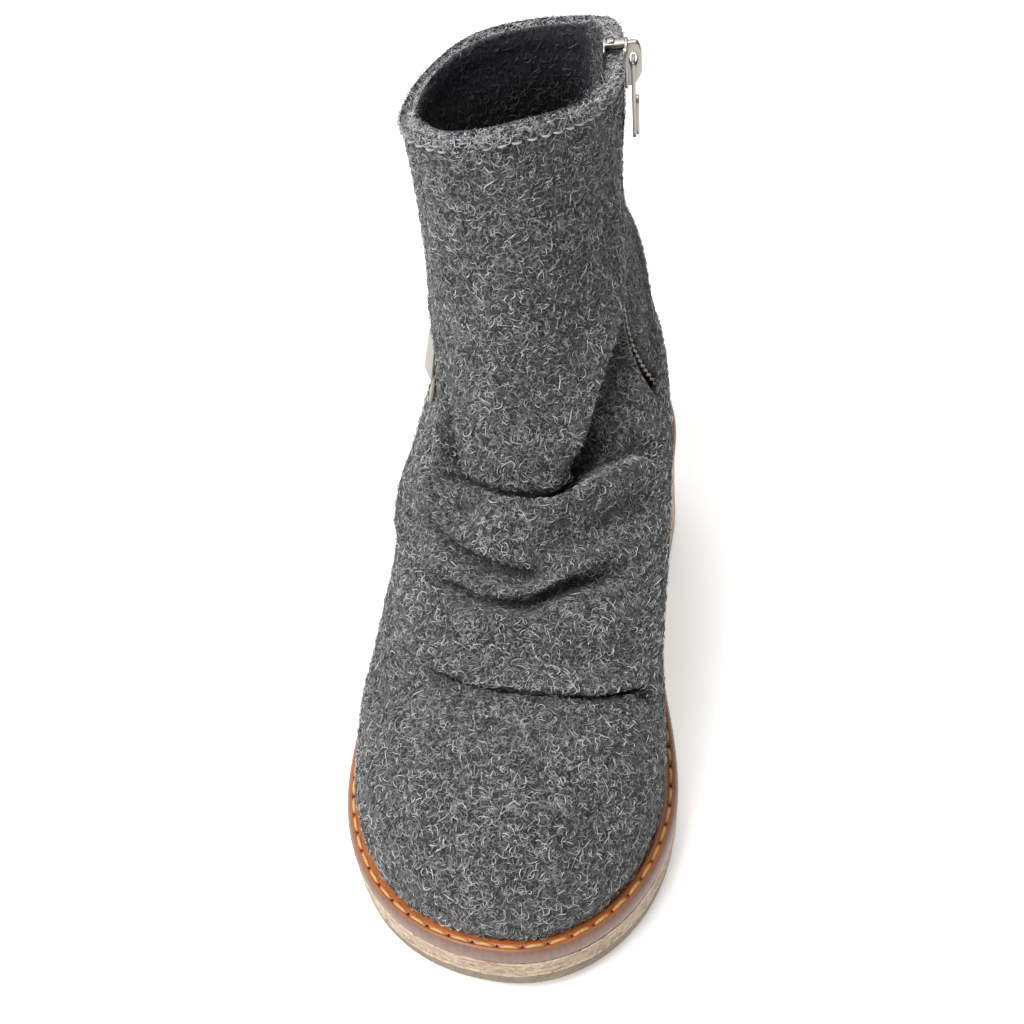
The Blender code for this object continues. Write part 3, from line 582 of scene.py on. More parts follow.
def fold_relief(points, fold):
    """How far one fold moves each point, from its distance to the fold's line."""
    path = smooth_rows(np.array(fold.path), np.linspace(0.0, len(fold.path) - 1, FOLD_SAMPLES))
    line = form(path[:, 0], path[:, 1])
    normals = form_normal(path[:, 0], path[:, 1])
    left = np.cross(normals, unit(np.gradient(line, axis=0)))
    reach = max(fold.left, fold.right)
    near = np.all((points > line.min(0) - reach) & (points < line.max(0) + reach), axis=-1)
    apart = points[near][:, None, :] - line[None]
    apart -= normals * np.sum(apart * normals, -1, keepdims=True)
    distance = np.linalg.norm(apart, axis=-1)
    nearest = np.argmin(distance, axis=1)
    picked = np.arange(len(nearest))
    side = np.sum(apart[picked, nearest] * left[nearest], -1)
    x = np.minimum(distance[picked, nearest] / np.where(side > 0, fold.left, fold.right), 1.0)
    run = nearest / (FOLD_SAMPLES - 1)
    fade = smoothstep(0.0, FOLD_FADE, run) * smoothstep(0.0, FOLD_FADE, 1.0 - run)
    profile = fold.sharp * (1.0 - x) ** 2 + (1.0 - fold.sharp) * (1.0 - x ** 2) ** 2
    relief = np.zeros(points.shape)
    shape = (fade * profile)[:, None]
    relief[near] = shape * (fold.height * normals[nearest] + fold.shove * left[nearest])
    return relief


def slouch(points, normals, u, level):
    """How far the folds and the slow waves of the felt move each point."""
    total = np.zeros(points.shape)
    for fold in FOLDS:
        total += fold_relief(points, fold)
    free = smoothstep(*FREE_SPAN, level)
    for wave in WAVES:
        sway = wave.height * np.sin(2 * pi * (wave.around * u + wave.up * level) + wave.start)
        total += normals * (sway * free)[..., None]
    return total


def nearby(heights, rows, columns, settle):
    """Lowest or mean height within some rows and columns of each grid point."""
    for axis, reach, ends in ((0, rows, "edge"), (1, columns, "wrap")):
        wide = np.pad(heights, [(reach, reach) if a == axis else (0, 0) for a in (0, 1)], ends)
        places = range(heights.shape[axis])
        heights = settle([np.take(wide, np.add(places, k), axis) for k in range(2 * reach + 1)], axis=0)
    return heights


Skin = namedtuple("Skin", "points normals outer_rows rim_end inner_of slit_row facing sunk")


@lru_cache(maxsize=1)
def felt_skin(fold_depth):
    """Grid over the felt wall: up the outer face, over the rim and down the lining."""
    levels = [np.linspace(b.first, b.last, b.rows, endpoint=False) for b in GRID_BANDS]
    slope = np.linalg.norm(form(0.0, TOP_LEVEL) - form(0.0, TOP_LEVEL - 1.0))
    levels = np.append(np.concatenate(levels), TOP_LEVEL - RIM_RISE / slope)
    slit_row = int(np.argmin(np.abs(levels - ZIP_END_LEVEL)))
    wall = np.linspace(ZIP_COLUMN + ZIP_SLOT_HALF, ZIP_COLUMN + 1.0 - ZIP_SLOT_HALF, WALL_COLUMNS)
    wall -= FRONT_CLOSENESS / (2 * pi) * (np.sin(2 * pi * wall) - sin(2 * pi * ZIP_COLUMN))
    slot = ZIP_COLUMN + np.linspace(-ZIP_SLOT_HALF, ZIP_SLOT_HALF, SLOT_COLUMNS + 2)[1:-1]
    column, level = np.meshgrid(np.append(wall, slot + 1.0), levels)
    u = column_u(column, level)
    base, out = form(u, level), form_normal(u, level)
    from_back, from_front = (np.linalg.norm(base - base[:, c][:, None], axis=-1) for c in (0, WALL_COLUMNS - 1))
    slit_edge = np.minimum(from_back, from_front)
    zipped = smoothstep(*ZIP_FOOT_SPAN, level)
    calm = 1.0 - zipped * (1.0 - smoothstep(*ZIP_CALM_SPAN, slit_edge))
    relief = slouch(base, out, u % 1.0, level) * (fold_depth * calm)[..., None]
    base[..., 2] += collar_rise(u, level)
    drop = (TOP_LEVEL - level) * rim_slope(u)
    hem = HEM_DENT * np.exp(-((drop - HEM_STITCH_DROP) / HEM_DENT_HALF) ** 2)
    rounding = SLIT_SINK * (1.0 - np.minimum(slit_edge / SLIT_ROUND, 1.0)) ** 2 * zipped
    outer = base + relief - out * (hem + rounding)[..., None]

    close = range(len(levels) - INNER_CLOSE_ROWS, len(levels))
    rows = sorted({*range(0, len(levels), INNER_EVERY), slit_row, *close}, reverse=True)
    depth = WALL + HEM_EXTRA * (1.0 - smoothstep(*HEM_SPAN, drop))
    outward = np.sum(relief * out, -1)
    sideways = np.linalg.norm(relief - out * outward[..., None], axis=-1)
    lowest = nearby(outward - sideways, LINING_ROWS, LINING_COLUMNS, np.min)
    depth = depth - nearby(lowest, LINING_ROWS, LINING_COLUMNS, np.mean)
    behind = np.linalg.norm(base - base[:, :1], axis=-1)
    behind[column > ZIP_COLUMN + FACING_REACH] = np.inf
    depth += FACING_THICK * (1.0 - smoothstep(*FACING_SPAN, behind)) * smoothstep(*FACING_LEVELS, level)
    facing = (int(np.sum(levels[rows] > FACING_LEVELS[0])), int(np.sum(behind[-1] < FACING_SPAN[1])))
    inner = (base - out * depth[..., None])[rows]

    top, far = outer[-1], inner[0]
    middle, half = (top + far) / 2, (top - far) / 2
    upward = unit(base[-1] - base[-2]) * RIM_RISE
    angles = pi * np.arange(1, RIM_STEPS + 1) / (RIM_STEPS + 1)
    rim = [middle + half * cos(a) + upward * sin(a) for a in angles]

    points = np.concatenate([outer, np.array(rim), inner])
    around = np.roll(points, -1, axis=1) - np.roll(points, 1, axis=1)
    normals = unit(np.cross(around, np.gradient(points, axis=0)))
    sunk = np.zeros(points.shape[:2])
    sunk[:len(levels)] = nearby(outward, CREASE_ROWS, CREASE_COLUMNS, np.mean) - outward
    return Skin(points, normals, len(levels), len(levels) + RIM_STEPS, rows, slit_row, facing, sunk)


def fill_mesh(bm, mesh, sharp=None):
    """Smooth mesh from a finished edit mesh, with edges kept over an angle in degrees."""
    bm.to_mesh(mesh)
    bm.free()
    mesh.shade_smooth()
    if sharp is not None:
        mesh.set_sharp_from_angle(angle=radians(sharp))
    return mesh


def mesh_from(name, points, faces, sharp=None):
    """Smooth closed mesh from points in millimetres."""
    mesh = bpy.data.meshes.new(name)
    mesh.from_pydata((points * MM).tolist(), [], faces)
    bm = bmesh.new()
    bm.from_mesh(mesh)
    bmesh.ops.delete(bm, geom=[v for v in bm.verts if not v.link_faces], context="VERTS")
    bmesh.ops.recalc_face_normals(bm, faces=bm.faces)
    return fill_mesh(bm, mesh, sharp)


def add_piece(name, mesh, materials, body="boot", replaces=()):
    """Object with its materials that rides a body and stands for solids of the frame."""
    for material in materials:
        mesh.materials.append(material)
    piece = bpy.data.objects.new(name, mesh)
    bpy.context.scene.collection.objects.link(piece)
    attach(piece, body)
    for solid in replaces:
        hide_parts(solid)
    return piece


def join_meshes(name, meshes):
    """One mesh from several, materials left out."""
    bm = bmesh.new()
    for mesh in meshes:
        bm.from_mesh(mesh)
        bpy.data.meshes.remove(mesh)
    joined = bpy.data.meshes.new(name)
    bm.to_mesh(joined)
    bm.free()
    return joined


def ring_quads(index):
    """Quads between neighbouring rows of point numbers, each row closed into a ring."""
    after = np.roll(index, -1, axis=-1)
    return np.stack([index[..., :-1, :], after[..., :-1, :], after[..., 1:, :], index[..., 1:, :]], -1)


def felt_wall(skin):
    """Faces of the felt wall with its rim and facing, and faces of the lining."""
    total, count = skin.points.shape[:2]
    index = np.arange(total * count).reshape(total, count)
    slit_down = skin.inner_of.index(skin.slit_row)
    inner_slit = skin.rim_end + slit_down
    row, col = np.mgrid[0:total - 1, 0:count]
    slit = (row >= skin.slit_row) & (row < inner_slit) & (col >= WALL_COLUMNS - 1)
    facing_rows, facing_columns = skin.facing
    is_felt = (row < skin.rim_end) | (row < skin.rim_end + facing_rows) & (col < facing_columns)
    quads = ring_quads(index)
    felt, lining = quads[~slit & is_felt].tolist(), quads[~slit & ~is_felt].tolist()
    felt += ring_quads(index[[-1, 0]]).reshape(-1, 4).tolist()
    for c in (0, WALL_COLUMNS - 1):
        felt.append(index[skin.outer_rows - 1:skin.rim_end + 1, c].tolist())
        for k in range(slit_down):
            high, low = skin.inner_of[k], skin.inner_of[k + 1]
            felt.append([index[skin.rim_end + k, c], index[skin.rim_end + k + 1, c], *index[low:high + 1, c]])
    foot = [WALL_COLUMNS - 1, *range(WALL_COLUMNS, count), 0]
    for a, b in zip(foot, foot[1:]):
        felt.append([index[skin.slit_row, a], index[skin.slit_row, b], index[inner_slit, b], index[inner_slit, a]])
    return felt, lining


def on_grid(grid, row, col):
    """Values of a grid at places between its rows and around its columns."""
    row = np.clip(row, 0.0, len(grid) - 1.001)
    r0, c0 = np.floor(row).astype(int), np.floor(col).astype(int)
    fr, fc = (row - r0)[..., None], (col - c0)[..., None]
    c1, c0 = (c0 + 1) % grid.shape[1], c0 % grid.shape[1]
    return (grid[r0, c0] * (1 - fc) + grid[r0, c1] * fc) * (1 - fr) + (
        grid[r0 + 1, c0] * (1 - fc) + grid[r0 + 1, c1] * fc) * fr


def fibre_mesh(style, skin, rows, settings, first_columns=None):
    """Curled ribbons scattered over rows of the skin, each following its folds."""
    random = np.random.default_rng(style.seed)
    count = int(settings.fibre_count * style.share)
    low, high = rows
    columns = skin.points.shape[1]
    corner = skin.points[low:high]
    across = np.roll(skin.points, -1, axis=1)[low:high] - corner
    area = np.linalg.norm(np.cross(across, skin.points[low + 1:high + 1] - corner), axis=-1)
    slit_top = skin.rim_end + skin.inner_of.index(skin.slit_row)
    open_rows = (np.arange(low, high) >= skin.slit_row) & (np.arange(low, high) < slit_top)
    area[np.ix_(open_rows, np.arange(columns) >= WALL_COLUMNS - 1)] = 0.0
    area[:, first_columns or columns:] = 0.0
    area *= np.clip(1.0 - skin.sunk[low:high] / CREASE_BARE, CREASE_LEAST, 1.0)
    pick = random.choice(area.size, count, p=(area / area.sum()).ravel())
    row = (low + pick // columns + random.random(count))[:, None]
    col = (pick % columns + random.random(count))[:, None]

    # Each fibre is drawn flat, then its points are carried to rows and columns of the skin.
    along_col = on_grid(skin.points, row, col + 0.5) - on_grid(skin.points, row, col - 0.5)
    along_row = on_grid(skin.points, row + 0.5, col) - on_grid(skin.points, row - 0.5, col)
    first = unit(along_col)
    second = unit(np.cross(on_grid(skin.normals, row, col), first))
    t = np.linspace(0.0, 1.0, FIBRE_STEPS + 1)[None]
    size = settings.fibre_length / MM * style.length * np.exp(random.normal(0.0, FIBRE_SIZES, (count, 1)))
    turn = random.normal(0.0, style.turn, (count, 1))
    hook = random.normal(0.0, style.turn * FIBRE_HOOK, (count, 1))
    heading = random.uniform(0.0, 2 * pi, (count, 1)) + turn * (t - 0.5) + hook * (t - 0.5) ** 2
    x = np.cumsum(np.cos(heading), axis=1) * size / FIBRE_STEPS
    y = np.cumsum(np.sin(heading), axis=1) * size / FIBRE_STEPS
    x, y = x - x.mean(axis=1, keepdims=True), y - y.mean(axis=1, keepdims=True)
    to_row = y / np.maximum(np.sum(along_row * second, -1), LEAST_CELL)
    col_size = np.maximum(np.linalg.norm(along_col, axis=-1), LEAST_CELL)
    to_col = (x - np.sum(along_row * first, -1) * to_row) / col_size
    row, col = row + to_row, (col + to_col) % columns
    at_slit = (col > WALL_COLUMNS - 1 - SLIT_CLEAR) | (col < SLIT_CLEAR)
    over_slit = (row > skin.slit_row) & (row < slit_top) & at_slit
    clear = ~over_slit.any(axis=1)
    row, col, count = row[clear], col[clear], int(clear.sum())

    normals = unit(on_grid(skin.normals, row, col))
    stand = np.sin(pi * t)
    lift = style.lift * random.uniform(*FIBRE_LIFTS, (count, 1)) * stand - FIBRE_SINK
    centre = on_grid(skin.points, row, col) + normals * lift[..., None]
    side = unit(np.cross(normals, np.gradient(centre, axis=1)))
    roll = random.uniform(-1.0, 1.0, (count, 1, 1))
    side = side * np.cos(roll) + normals * np.sin(roll)
    width = settings.fibre_width / MM * style.width * random.uniform(*FIBRE_WIDTHS, (count, 1))
    half = (width / 2 * (FIBRE_TIP + (1.0 - FIBRE_TIP) * stand))[..., None]
    points = np.stack([centre - side * half, centre + side * half], axis=2).reshape(-1, 3)
    start = np.arange(count)[:, None] * 2 * (FIBRE_STEPS + 1) + 2 * np.arange(FIBRE_STEPS)[None]
    quads = np.stack([start, start + 1, start + 3, start + 2], -1).reshape(-1, 4)
    mesh = bpy.data.meshes.new(style.name)
    mesh.from_pydata((points * MM).tolist(), [], quads.tolist())
    mesh.shade_smooth()
    return mesh


def tubes(centre, normal, radius, sides=8):
    """Closed tubes along rows of centres, as points and faces."""
    along = unit(np.gradient(centre, axis=1))
    side = unit(np.cross(along, normal))
    up = np.cross(side, along)
    angle = 2 * pi * np.arange(sides) / sides
    ring = side[:, :, None] * np.cos(angle)[:, None] + up[:, :, None] * np.sin(angle)[:, None]
    points = centre[:, :, None] + ring * radius[..., None, None]
    index = np.arange(points.size // 3).reshape(points.shape[:3])
    caps = np.concatenate([index[:, 0, ::-1], index[:, -1]])
    return points.reshape(-1, 3), ring_quads(index).reshape(-1, 4).tolist() + caps.tolist()


def path_run(path):
    """Distance along a path at each of its points."""
    return np.append(0.0, np.cumsum(np.linalg.norm(np.diff(path, axis=0), axis=1)))


def along_run(place, run, rows):
    """Rows that belong to a path's points, read off at distances along it."""
    return np.stack([np.interp(place, run, rows[:, k]) for k in range(3)], -1)


def stitch_line(path, normals, stitch):
    """Row of stitches along a path: each one rises from a hole and sinks into the next."""
    random = np.random.default_rng(stitch.seed)
    run = path_run(path)
    count = int(run[-1] // stitch.pitch)
    middle = (np.arange(count) + 0.5) * run[-1] / count + random.normal(0.0, stitch.stray, count)
    t = np.linspace(0.0, 1.0, STITCH_STEPS)
    reach = stitch.length * (1.0 + random.normal(0.0, STITCH_SIZES, (count, 1)))
    place = middle[:, None] + reach * (t - 0.5)
    normal = unit(along_run(place, run, normals))
    stand = np.sin(pi * t) ** STITCH_ARCH * (stitch.rise + stitch.dip) - stitch.dip
    centre = along_run(place, run, path) + normal * stand[None, :, None]
    thick = stitch.radius * np.sqrt(np.maximum(1.0 - np.abs(2 * t - 1) ** STITCH_BLUNT, STITCH_TIP))
    return tubes(centre, normal, np.broadcast_to(thick, place.shape))


def sole_outline(inset):
    """Sole's outline drawn in by inset, as a dense closed loop of points from the toe."""
    u = np.linspace(0.0, 1.0, OUTLINE_SAMPLES, endpoint=False)
    x, y = plan_points(u, SOLE_PLAN)
    x1, y1 = plan_points(u + U_STEP, SOLE_PLAN)
    x0, y0 = plan_points(u - U_STEP, SOLE_PLAN)
    along = unit(np.stack([x1 - x0, y1 - y0], -1))
    return x - inset * along[:, 1], y + inset * along[:, 0]


def layer_ring(inset):
    """Sole outline in pairs at equal y: toe, medial side, heel, lateral side."""
    x, y = sole_outline(inset)
    half = OUTLINE_SAMPLES // 2
    share = (1.0 - np.cos(pi * np.arange(SOLE_STATIONS + 1) / SOLE_STATIONS)) / 2
    stations = y[0] + (y[half] - y[0]) * share
    medial = np.interp(stations, y[:half + 1], x[:half + 1])
    lateral = np.interp(stations, np.append(y[0], y[:half - 1:-1]), np.append(x[0], x[:half - 1:-1]))
    ring_x = np.concatenate([medial, lateral[-2:0:-1]])
    return ring_x, np.concatenate([stations, stations[-2:0:-1]])


def seam_ripple(x, y):
    """Height of the seam's unevenness."""
    return sum(r.height * np.sin(r.along * y + r.across * x + r.start) for r in RIPPLES)


def layer_mesh(name, edges, bottom, top, sharp):
    """Sole layer between two heights with a shaped side, closed above and below."""
    rings = []
    for edge in edges:
        x, y = layer_ring(edge.inset)
        low, high = bottom(x, y), top(x, y)
        rings.append(np.stack([x, y, low + edge.share * (high - low) + edge.rise], -1))
    count = 2 * SOLE_STATIONS
    index = np.arange(len(edges) * count).reshape(len(edges), count)
    faces = ring_quads(index).reshape(-1, 4).tolist()
    for ring in (index[0], index[-1]):
        faces.append([ring[0], ring[1], ring[-1]])
        faces += [[ring[i], ring[i + 1], ring[-i - 1], ring[-i]] for i in range(1, SOLE_STATIONS - 1)]
        faces.append([ring[SOLE_STATIONS - 1], ring[SOLE_STATIONS], ring[SOLE_STATIONS + 1]])
    mesh = mesh_from(name, np.concatenate(rings), faces, sharp)
    worn = mesh.attributes.new("worn", "FLOAT", "POINT")
    worn.data.foreach_set("value", np.repeat([edge.worn for edge in edges], count).astype(np.float32))
    return mesh


def plate_mesh(loops, thickness, bevel, matrix):
    """Flat plate with rounded edges from closed outlines, the first one the rim."""
    curve = bpy.data.curves.new("outline", "CURVE")
    curve.dimensions = "2D"
    curve.fill_mode = "BOTH"
    curve.extrude = (thickness / 2 - bevel) * MM
    curve.bevel_depth = bevel * MM
    curve.bevel_resolution = 3
    curve.offset = -bevel * MM
    for loop in loops:
        spline = curve.splines.new("POLY")
        spline.points.add(len(loop) - 1)
        for point, (x, y) in zip(spline.points, loop):
            point.co = (x * MM, y * MM, 0.0, 1.0)
        spline.use_cyclic_u = True
    holder = bpy.data.objects.new("outline", curve)
    mesh = bpy.data.meshes.new_from_object(holder)
    bpy.data.objects.remove(holder)
    bpy.data.curves.remove(curve)
    bm = bmesh.new()
    bm.from_mesh(mesh)
    bmesh.ops.remove_doubles(bm, verts=bm.verts, dist=0.005 * MM)
    bmesh.ops.recalc_face_normals(bm, faces=bm.faces)
    bmesh.ops.transform(bm, matrix=matrix, verts=bm.verts)
    return fill_mesh(bm, mesh, HARD_CORNER)


def rounded_block(size, bevel, matrix):
    """Block with rounded edges around the origin, moved by a matrix."""
    bm = bmesh.new()
    bmesh.ops.create_cube(bm, size=1.0)
    bmesh.ops.scale(bm, vec=[s * MM for s in size], verts=bm.verts)
    bmesh.ops.bevel(bm, geom=bm.edges, offset=bevel * MM, segments=3, affect="EDGES", profile=0.5)
    bmesh.ops.transform(bm, matrix=matrix, verts=bm.verts)
    return fill_mesh(bm, bpy.data.meshes.new("block"))


def round_loop(corners, radius):
    """Closed outline with each corner rounded."""
    loop = []
    count = len(corners)
    for i in range(count):
        before, corner, after = (Vector(corners[(i + k) % count]) for k in (-1, 0, 1))
        start = corner + (before - corner).normalized() * radius
        end = corner + (after - corner).normalized() * radius
        for k in range(ROUND_STEPS + 1):
            t = k / ROUND_STEPS
            loop.append(tuple(start * (1 - t) ** 2 + corner * 2 * t * (1 - t) + end * t ** 2))
    return loop


def ellipse_arc(centre, radii, start, end, steps):
    """Points on an ellipse arc, angles in degrees."""
    angles = np.radians(np.linspace(start, end, steps))
    return [(centre[0] + radii[0] * cos(a), centre[1] + radii[1] * sin(a)) for a in angles]


def shift(x, y, z):
    """Matrix that moves by millimetres."""
    return Matrix.Translation((x * MM, y * MM, z * MM))


def upright_place(u, level):
    """Matrix on the skin: X points level and outward, Z up."""
    normal = form_normal(u, level)
    return shift(*form(u, level)) @ Matrix.Rotation(np.arctan2(normal[1], normal[0]), 4, "Z")


def band_mesh(name, u, levels, half, depths, steps):
    """Closed band on the upper along a line, between two depths, in millimetres."""
    rows = []
    for level in levels:
        side = beside(u, level, np.linspace(-half, half, steps))
        skin, out = form(side, level), form_normal(side, level)
        rows.append(np.concatenate([skin + out * depths[0], (skin + out * depths[1])[::-1]]))
    count = 2 * steps
    index = np.arange(len(rows) * count).reshape(len(rows), count)
    faces = ring_quads(index).reshape(-1, 4).tolist()
    for ring in (index[0], index[-1]):
        faces += [[ring[i], ring[i + 1], ring[count - i - 2], ring[count - i - 1]] for i in range(steps - 1)]
    return mesh_from(name, np.concatenate(rows), faces, LEATHER_CORNER)


def per_mm(size):
    """Texture scale that gives a pattern a size in millimetres."""
    return 1.0 / (size * MM)


def rgba(colour, scale=1.0):
    """Colour with full alpha, made lighter or darker."""
    return (*(min(c * scale, 1.0) for c in colour), 1.0)


def feed(node, inputs):
    """Set a node's inputs, each to a value or from another node's output."""
    for key, value in inputs.items():
        if isinstance(value, bpy.types.NodeSocket):
            node.id_data.links.new(value, node.inputs[key])
        else:
            node.inputs[key].default_value = value


def add_node(tree, kind, inputs=None, out=0, **options):
    """One output of a new node of a kind, with its options and inputs."""
    node = tree.nodes.new("ShaderNode" + kind)
    for key, value in options.items():
        setattr(node, key, value)
    feed(node, inputs or {})
    return node.outputs[out]


def new_material(name, **constants):
    """Material, add_node for its tree, and its shader with constants set, named with _ for a space."""
    material = bpy.data.materials.new(name)
    material.use_nodes = True
    shader = material.node_tree.nodes["Principled BSDF"]
    feed(shader, {key.replace("_", " "): value for key, value in constants.items()})
    return material, partial(add_node, material.node_tree), shader


def one_pattern(node, shader, pattern, colour, shades, gloss=None, relief=None, invert=False):
    """Tone, gloss and relief of a surface that all follow one pattern."""
    low, high = (rgba(colour, shade) for shade in shades)
    looks = {"Base Color": node("Mix", {0: pattern, 6: low, 7: high}, 2, data_type="RGBA")}
    if gloss:
        looks["Roughness"] = node("MapRange", {"Value": pattern, "To Min": gloss[0], "To Max": gloss[1]})
    if relief:
        strength, height = relief
        looks["Normal"] = node(
            "Bump", {"Strength": strength, "Distance": height * MM, "Height": pattern}, invert=invert)
    feed(shader, looks)


def felt_material(settings):
    """Boiled wool felt."""
    # Knitted wool shrunk until it mats: dull, no weave, a tangle of fine curls over darker hollows, dark partly from
    # the wool and partly from painted shade between the curls.
    # Curls are drawn 0.3 mm wide, coarser than wool, so that they show.
    material, node, shader = new_material(
        "boiled_wool_felt", Roughness=0.95, Sheen_Weight=0.2, Sheen_Roughness=0.6, Specular_IOR_Level=0.2)
    place = node("TexCoord", out="Object")
    fuzz = node("TexNoise", {"Scale": per_mm(0.7), "Detail": 2.0, "Roughness": 0.7, "Vector": place})
    tangle = node("Math", {0: fuzz, 1: 0.55}, operation="MULTIPLY")
    for curl, strength in ((2.8, 1.0), (2.0, 0.85), (1.4, 0.7)):
        waves = node("TexNoise", {"Scale": per_mm(curl), "Detail": 0.0, "Vector": place})
        off_line = node("Math", {0: waves, 1: 0.5}, operation="SUBTRACT")
        away = node("Math", {0: off_line}, operation="ABSOLUTE")
        line = node(
            "MapRange", {"Value": away, "From Max": 0.055, "To Min": strength, "To Max": 0.0},
            interpolation_type="SMOOTHSTEP")
        tangle = node("Math", {0: tangle, 1: line}, operation="MAXIMUM")
    clumps = node("TexNoise", {"Scale": per_mm(6.0), "Detail": 2.0, "Roughness": 0.5, "Vector": place})
    spread = node("MapRange", {"Value": tangle, "From Min": 0.15, "From Max": 0.95})
    tone = node(
        "Mix", {0: spread, 6: rgba(settings.ground_dark), 7: rgba(settings.ground_light)}, 2, data_type="RGBA")
    patch = node("MapRange", {"Value": clumps, "From Min": 0.3, "From Max": 0.7, "To Min": 0.75, "To Max": 1.2})
    mottled = node("Mix", {0: 1.0, 6: tone, 7: patch}, 2, data_type="RGBA", blend_type="MULTIPLY")
    nap = node("Bump", {"Strength": 0.8, "Distance": 0.45 * MM, "Height": tangle})
    feed(shader, {"Base Color": mottled, "Normal": nap})
    return material


def fibre_material(name, colour, spread):
    """Loose wool fibres of one grey."""
    # Single crimped wool hairs: soft shine along each hair and a different grey from hair to hair.
    material, node, shader = new_material(
        name, Roughness=0.7, Sheen_Weight=0.15, Sheen_Roughness=0.5, Specular_IOR_Level=0.3)
    hair = node("NewGeometry", out="Random Per Island")
    one_pattern(node, shader, hair, colour, (1.0 - spread, 1.0 + spread))
    return material


def lining_material(settings):
    """Brushed fleece lining."""
    # Short raised pile, dyed almost black: dead matt with a faint blue bloom. Painted light and shade:
    # paler towards the collar, where light falls into the boot, and darker deeper down.
    material, node, shader = new_material(
        "brushed_fleece_lining", Roughness=0.95, Sheen_Weight=0.2, Sheen_Roughness=0.5, Specular_IOR_Level=0.15)
    place = node("TexCoord", out="Object")
    pile = node("TexNoise", {"Scale": per_mm(1.1), "Detail": 4.0, "Distortion": 0.8, "Vector": place})
    dark, pale = rgba(settings.lining, 0.5), rgba(settings.lining, 2.4)
    tone = node("Mix", {0: pile, 6: dark, 7: pale}, 2, data_type="RGBA")
    # Painted light and shade: the colour is multiplied up towards the collar and down deeper in the boot, for the
    # light that falls in at the opening.
    height = node("SeparateXYZ", {"Vector": place}, "Z")
    wear_and_painted_light = node(
        "MapRange", {"Value": height, "From Min": 172 * MM, "From Max": 200 * MM, "To Min": 0.5, "To Max": 6.0})
    painted_light_lining = node("Mix", {0: 1.0, 6: tone, 7: wear_and_painted_light}, 2, data_type="RGBA", blend_type="MULTIPLY")
    raised = node("Bump", {"Strength": 0.8, "Distance": 0.4 * MM, "Height": pile})
    feed(shader, {"Base Color": painted_light_lining, "Normal": raised})
    return material


def thread_material(name, colour):
    """Twisted sewing thread."""
    # Plied thread: fine slanted highlights of the twist, painted into the colour and raised by the bump, drawn at 0.6
    # mm so that they show.
    material, node, shader = new_material(name, Roughness=0.5, Coat_Weight=0.2, Coat_Roughness=0.4)
    place = node("TexCoord", out="Object")
    twist_and_highlights = node("TexNoise", {"Scale": per_mm(0.6), "Detail": 2.0, "Vector": place})
    one_pattern(node, shader, twist_and_highlights, colour, (0.6, 1.35), relief=(0.5, 0.15))
    return material


def welt_material(settings):
    """Waxed vegetable-tanned leather with a burnished edge."""
    # The top is waxed tan leather with soft gloss and fine pores; the cut side is rubbed smooth,
    # greyer, with short upright tool marks.
    material, node, shader = new_material("waxed_welt_leather", Coat_Weight=0.15, Coat_Roughness=0.35)
    place = node("TexCoord", out="Object")
    stain = node("TexNoise", {"Scale": per_mm(9.0), "Detail": 5.0, "Roughness": 0.6, "Vector": place})
    pores = node("TexVoronoi", {"Scale": per_mm(0.8), "Vector": place})
    squeezed = node("Mapping", {"Scale": (1.0, 1.0, 0.12), "Vector": place})
    marks = node("TexNoise", {"Scale": per_mm(1.1), "Detail": 3.0, "Roughness": 0.6, "Vector": squeezed})
    dark, pale = rgba(settings.welt_top, 0.62), rgba(settings.welt_top, 1.35)
    top = node("Mix", {0: stain, 6: dark, 7: pale}, 2, data_type="RGBA")
    dark, pale = rgba(settings.welt_edge, 0.6), rgba(settings.welt_edge, 1.4)
    edge = node("Mix", {0: marks, 6: dark, 7: pale}, 2, data_type="RGBA")
    normal = node("NewGeometry", out="Normal")
    facing = node("SeparateXYZ", {"Vector": normal}, "Z")
    ragged = node("Math", {0: stain, 1: 0.35}, operation="MULTIPLY")
    upward = node("Math", {0: facing, 1: ragged}, operation="ADD")
    is_top = node("MapRange", {"Value": upward, "From Min": 0.95, "From Max": 1.1})
    tone = node("Mix", {0: is_top, 6: edge, 7: top}, 2, data_type="RGBA")
    gloss = node("MapRange", {"Value": stain, "To Min": 0.36, "To Max": 0.58})
    grain = node("Bump", {"Strength": 0.35, "Distance": 0.12 * MM, "Height": pores})
    tooled = node("Bump", {"Strength": 0.4, "Distance": 0.2 * MM, "Height": marks, "Normal": grain})
    feed(shader, {"Base Color": tone, "Roughness": gloss, "Normal": tooled})
    return material


